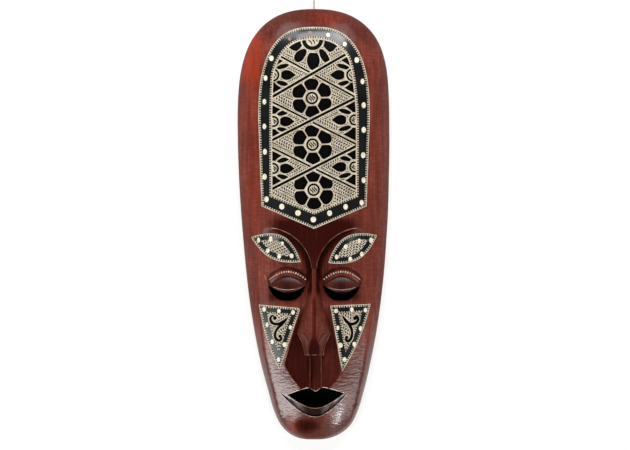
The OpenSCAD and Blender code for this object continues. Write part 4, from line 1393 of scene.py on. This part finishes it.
SCROLL_BALLS = {"left": [(-45.4, 141.2, 2.3), (-39.4, 120, 2.0)],
                "right": [(47.4, 141, 2.3), (37.8, 118.6, 2.1)]}


def brush_stroke(bm, stops, margin=0.0):
    """A stroke whose width changes on the way, through [x, z, half width], smoothed."""
    length = [0.0]
    for a, b in zip(stops, stops[1:]):
        length.append(length[-1] + math.dist(a[:2], b[:2]))
    tables = [[(s, stop[axis]) for s, stop in zip(length, stops)] for axis in (0, 1, 2)]
    n = max(8, round(length[-1] / 1.2))
    places = [length[-1] * k / n for k in range(n + 1)]
    path = [(along_table(s, tables[0]), along_table(s, tables[1])) for s in places]
    strip(bm, path, lambda t: -margin - 1.15 * along_table(t * length[-1], tables[2]),
          lambda t: margin + 1.15 * along_table(t * length[-1], tables[2]))


for side, edges in CHEEK_TIPS.items():
    outline = []
    for a, b, bulge in edges:
        outline += bulged(a, b, bulge, 12) if bulge else [Vector(a)]
    panel("cheek_" + side, outline, "cheek_panel_" + side, "cheek_linework_" + side, 8.6,
          0.5 if side == "left" else -0.5, True)
    # the scroll, and the plain pale margin left round it
    for name, margin, height, paint, slot, node in (
            ("cheek_margin_", 0.9, LINE_UP - 0.04, lime_paste, "lime_filler", "cheek_linework_"),
            ("cheek_scroll_", 0.0, ENAMEL_UP - 0.02, black_enamel, "black_resin", "cheek_scroll_")):
        bm = bmesh.new()
        for stops in SCROLLS[side]:
            brush_stroke(bm, stops, margin)
        for x, z, r in SCROLL_BALLS[side]:
            flat_shape(bm, circle(x, z, r + margin, 16))
        lay_on_face(bm, height, 0.3)
        finish_piece(name + side, bm, [paint], slot, node + side, sharp=40)
    shell_dots("cheek_dots_" + side, "cheek_shell_dots_" + side, CHEEK_DOTS[side])

# ---- Eyes ---------------------------------------------------------------------------------
# Each eye is carved in the same wood: a lid that swells out under a deep crease, and below it a
# smooth almond that bulges over the slit. The lid carries a line of pale dashes.


def lid_height(s, t):
    """How far the lid stands above the socket, from the crease (0) to the almond (1)."""
    ends = 1 - abs(t) ** 5
    return (-2.4 + 5.0 * smooth(s / 0.5) - 0.6 * smooth((s - 0.6) / 0.4)) * ends - 1.6 * (1 - ends)


def almond_height(s, t):
    """How far the almond stands above the socket, from its upper edge (0) to its rim (1)."""
    ends = (1 - t * t) ** 0.7
    rise = -0.6 + 5.2 * math.sin(math.pi * (0.04 + 0.62 * s)) ** 0.9
    rim = 0.9 * smooth((s - 0.78) / 0.1)
    return (rise + rim) * ends - 1.2 * (1 - ends)


def almond_share(x, z):
    """How far down the almond a point lies."""
    left = 1 - (x / 21) ** 2
    return min(1.0, max(0.0, (EYE_Z - 1 + 10.6 * left - z) / max(0.1, 19 * left)))


def dash_line(centre, t):
    """The line of dashes across an eyelid."""
    return arc(centre, 22, EYE_Z + 4.6, EYE_Z + 14.6, t)


def carved_grid(low, high, height, depth, across, up):
    """A carved surface between two lines over the face, its edges turned down into the wood."""
    bm = bmesh.new()
    bmesh.ops.create_grid(bm, x_segments=across, y_segments=up, size=1.0)
    for v in bm.verts:
        t, s = v.co.x, (1 - v.co.y) / 2
        spot = high(t).lerp(low(t), s)
        v.co = (spot.x, -(face(spot.x, spot.y) + height(s, t)), spot.y)
    stain_and_shade_uv(bm)
    turn_down(bm, depth)
    return bm


for side, (centre, way) in EYES.items():
    bm = carved_grid(lambda t: arc(centre, 21, EYE_Z - 1, EYE_Z + 9.4, t),
                     lambda t: arc(centre, 23.2, EYE_Z + 7.6, EYE_Z + 18.6, t), lid_height, 5.0, 44, 16)
    finish_piece("eyelid_" + side, bm, [stained_wood], "stained_wood", "mask_body", sharp=50)
    bm = carved_grid(lambda t: arc(centre, 21, EYE_Z - 1, EYE_Z - 9.4, t),
                     lambda t: arc(centre, 21, EYE_Z - 1, EYE_Z + 9.6, t), almond_height, 9.0, 44, 20)
    finish_piece("eyeball_" + side, bm, [smooth_wood], "stained_wood", "mask_body", sharp=50)
    # its lower rim, rubbed to a thin pale line above the turn into the slit, which is also a painted
    # highlight along the rim
    bm = bmesh.new()
    rim = [arc(centre, 20, EYE_Z - 1.6, EYE_Z - 6.6, -0.84 + 1.64 * k / 24) for k in range(25)]
    strip(bm, rim, 0.0, 0.45)
    lay_on_face(bm, 0.12, 0.3, lambda x, z: face(x, z) + almond_height(
        almond_share(x - centre, z), (x - centre) / 21))
    finish_piece("eye_rim_" + side, bm, [rubbed_wood_and_highlight], "stained_wood", "mask_body", sharp=50)
    # the dashes: short strokes of lime paste across the lid, that thin to a line at the outer end
    bm = bmesh.new()
    bm.loops.layers.uv.new("run")
    for k in range(13):
        t = way * (-0.93 + 1.5 * k / 12)
        a = dash_line(centre, t)
        d = (dash_line(centre, t + 0.05) - a).normalized()
        across = Vector((-d.y, d.x)) * (1.0 + 0.2 * math.sin(k * 2.1))
        along_dash = d * (0.6 + 0.1 * math.sin(k * 3.7))
        flat_shape(bm, [a - across - along_dash, a - across * 0.6 + along_dash,
                        a + across + along_dash * 0.9, a + across * 0.8 - along_dash])
    strip(bm, [dash_line(centre, way * (0.56 + 0.42 * k / 12)) for k in range(13)], -0.25, 0.25)
    lay_on_face(bm, 0.3, 0.6, lambda x, z: face(x, z) + 2.45 * (
        1 - min(1.0, abs((x - centre) / 22.9)) ** 5))
    finish_piece("lid_dashes_" + side, bm, [lime_paste], "lime_filler", "eyelid_beads_" + side, sharp=40)

# ---- Rubbed edges and painted light -------------------------------------------------------
# The sharp edges of the carved wood, where the stain is rubbed away to a pale line that also
# stands in as a painted highlight: round the mouth, along the brows, the nose and the two ridges
# of the upper lip. Thin black lines in the creases above the lids and along the nostrils are
# painted shade.
BROW_Z = (199, 202, 206, 211, 217, 223, 229, 234, 238, 241, 243.5, 245.2, 245.9)
WING_Z = (98.5, 101, 104, 108, 112, 116, 120, 124)
NOSTRIL = ((12.6, 123.8), (10.6, 122.4), (8.6, 120), (7, 117.4), (6, 114.8))
bm = bmesh.new()
bm.loops.layers.uv.new("run")
for side in (-1, 1):
    brow = [(side * middle_half(z), z) for z in BROW_Z]
    strip(bm, brow, *((-0.75, 0.1) if side > 0 else (-0.1, 0.75)))
    wing = [(side * (along_table(z, NOSE_HALF) - 0.1), z) for z in WING_Z]
    strip(bm, wing, *((0.0, 0.8) if side > 0 else (-0.8, 0.0)))
    # black lines along the nostrils and, below, in the crease above each lid: painted shade
    strip(bm, [(side * x, z) for x, z in NOSTRIL], -0.45, 0.45, index=2)
    centre = EYES["left" if side < 0 else "right"][0]
    strip(bm, [crease(centre, -0.86 + 1.72 * k / 24) for k in range(25)], 0.1, 0.75, index=2)
    ridge = [(MOUTH_X + side * RIDGE_APART, z) for z in (60.8, 66, 76, 86, 97)]
    strip(bm, ridge, -0.35, 0.35)
strip(bm, [(-11.4, 98.6), (11.4, 98.6)], -0.4, 0.4)
# pale lines along the mouth's upper edge and the lip's outer edge: worn edges with a painted highlight
xs = [-MOUTH_HALF + 2 * MOUTH_HALF * k / 40 for k in range(41)]
over = [at_mouth(x, mouth_over(x, MOUTH_HALF, 0.05)) for x in xs]
strip(bm, over, lambda t: 0.0, lambda t: 0.55 + 0.35 * math.sin(23 * t) * math.sin(61 * t), index=1)
lip = [lip_edge(-1 + 2 * k / 40) for k in range(41)]
strip(bm, lip, lambda t: -0.25 - 0.3 * abs(2 * t - 1) ** 1.5, lambda t: 0.0, index=1)
foot = [at_mouth(x, mouth_under(x, MOUTH_HALF, MOUTH_DROP)) for x in range(-24, 25, 2)]
strip(bm, foot, -0.7, 0.0)
# a dark chip in the jaw, and a pale one beside the left eye
DARK_CHIP = [(44.8, 38.2), (47.8, 38), (50.6, 40.2), (50.4, 42.6), (47.6, 41.8), (45.2, 40.4)]
PALE_CHIP = [(-58.2, 191.6), (-57, 187.6), (-54.6, 184.2), (-55.8, 188.6), (-57.2, 191.8)]
flat_shape(bm, DARK_CHIP).material_index = 2
flat_shape(bm, PALE_CHIP).material_index = 0


def edge_surface(x, z):
    """The face, sunk a little in the band of the lower lip."""
    across = x - MOUTH_X
    lip_z = at_mouth(across, mouth_under(across, LIP_HALF, LIP_DROP)).y
    sunk = abs(across) < 25 and 30 < z < 46 and z > lip_z + 3
    return surface(x, z) - (0.8 if sunk else 0)


lay_on_face(bm, 0.08, 0.3, edge_surface)
finish_piece("edge_wear_and_painted_light", bm, [rubbed_wood_and_highlight, worn_wood_and_highlight, black_paint], "stained_wood", "mask_body",
             sharp=40)

# ---- Screw eye ----------------------------------------------------------------------------
# A small brass-plated steel eye, bent from wire and screwed into the thick wood of the crown.

# Brass plating on drawn steel wire: yellow metal with fine lines along it and a soft shine.
brass_plating, tree, drawn, tone = toned_material("brass_plating", 3000.0,
                                                  ((0.0, "#a07f3c"), (1.0, "#dcc07a")), detail=2.0)
gloss = add(tree, "MapRange", (drawn, 0.0, 1.0, 0.2, 0.4))
finish_shader(tree, add(tree, "BsdfPrincipled", {
    "Base Color": tone, "Metallic": 1.0, "Roughness": gloss}))
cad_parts["screw_eye"].data.materials.clear()
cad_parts["screw_eye"].data.materials.append(brass_plating)

# ---- Wall, floor and light ----------------------------------------------------------------
# A plain white wall that the mask hangs on, a plain pale floor well below it, and soft lamps.
# The wall shows its own white to the camera round the mask, and low down it glows faintly in
# reflections: a painted reflection for the sheen on the lower face. Behind the mask it is darkened
# to near black as painted shade, and the shade goes with the mask as it swings.
SHADE_BELOW = 0.287  # metres from the hook down to the middle of the shade
SHADE_TALL = 0.235  # half its height
SHADE_WIDE = 0.062  # half its width
white_wall, tree = blank_material("painted_wall")
place = add(tree, "TexCoord", object=mask_wood).outputs["Object"]
parts = add(tree, "SeparateXYZ", {"Vector": place})
height = add(tree, "Math", (parts.outputs["Z"], SHADE_BELOW), operation="ADD")
tall = add(tree, "Math", (height, SHADE_TALL), operation="DIVIDE")
squared = add(tree, "Math", (tall, tall), operation="MULTIPLY")
fourth = add(tree, "Math", (squared, squared), operation="MULTIPLY")
wide = add(tree, "Math", (parts.outputs["X"], SHADE_WIDE), operation="DIVIDE")
reach = add(tree, "Math", (wide, wide, fourth), operation="MULTIPLY_ADD")
outside_painted_shade = add(tree, "MapRange", (reach, 0.9, 1.0))
seen = add(tree, "LightPath")
# the lower wall glows in glossy rays only: a painted reflection on the mask's lower face
reflection_glow_low = add(tree, "MapRange", (parts.outputs["Z"], -0.52, -0.38, 1.0, 0.12))
painted_reflection_glow = add(tree, "Math", (seen.outputs["Is Glossy Ray"], reflection_glow_low), operation="MULTIPLY")
lit = add(tree, "Math", (seen.outputs["Is Camera Ray"], 0.72, painted_reflection_glow), operation="MULTIPLY_ADD")
wall_glow = add(tree, "Math", (lit, outside_painted_shade), operation="MULTIPLY")
# painted shade: near black behind the mask, the wall's grey paint round it
dark = add(tree, "Mix", {"Factor": outside_painted_shade, 6: hex_colour("#060606"), 7: hex_colour("#a2a2a0")},
           data_type="RGBA")
paint = add(tree, "BsdfPrincipled", {"Base Color": dark, "Roughness": 0.9, "Specular IOR Level": 0.2,
                                     "Emission Color": hex_colour("#ffffff"), "Emission Strength": wall_glow})
clear = add(tree, "BsdfTransparent")
behind = add(tree, "NewGeometry")
finish_shader(tree, add(tree, "MixShader", {0: behind.outputs["Backfacing"], 1: paint, 2: clear}))

bm = bmesh.new()
bmesh.ops.create_grid(bm, x_segments=2, y_segments=2, size=3.0)
bmesh.ops.rotate(bm, verts=bm.verts, cent=(0, 0, 0), matrix=Matrix.Rotation(math.radians(90), 3, "X"))
bmesh.ops.translate(bm, verts=bm.verts, vec=(0, 0.001, 1.2))
place_mesh("wall", bm, [white_wall])

pale_floor, tree = blank_material("painted_floor")
finish_shader(tree, add(tree, "BsdfPrincipled", {"Base Color": hex_colour("#dcdcda"), "Roughness": 0.8}))
bm = bmesh.new()
bmesh.ops.create_grid(bm, x_segments=2, y_segments=2, size=3.0)
bmesh.ops.translate(bm, verts=bm.verts, vec=(0, -3.0, -2.0))
place_mesh("floor", bm, [pale_floor])


def soft_lamp(name, place, aim, wide, high, watts):
    data = bpy.data.lights.new(name, "AREA")
    data.shape = "RECTANGLE"
    data.size = wide
    data.size_y = high
    data.energy = watts
    lamp = bpy.data.objects.new(name, data)
    lamp.location = place
    lamp.rotation_euler = (Vector(aim) - Vector(place)).to_track_quat("-Z", "Y").to_euler()
    bpy.context.scene.collection.objects.link(lamp)


soft_lamp("window", (0.25, -1.45, 1.25), (0, 0, -0.1), 1.5, 0.65, 27)
soft_lamp("high_left", (-0.8, -0.95, 1.65), (0, 0, -0.25), 1.0, 1.0, 16)
soft_lamp("high_right", (0.85, -0.95, 1.6), (0, 0, -0.25), 1.0, 1.0, 11.5)
soft_lamp("low_left", (-1.45, -1.5, -1.25), (0, 0, -0.42), 2.2, 0.7, 25)
soft_lamp("low_right", (1.35, -1.55, -1.3), (0, 0, -0.42), 2.4, 0.5, 9.5)
soft_lamp("spot_right", (0.93, -1.44, -1.54), (0, 0, -0.5), 0.3, 0.2, 4)
world = bpy.data.worlds.new("room")
world.use_nodes = True
world.node_tree.nodes["Background"].inputs["Color"].default_value = hex_colour("#ffffff")
world.node_tree.nodes["Background"].inputs["Strength"].default_value = 0.08
bpy.context.scene.world = world
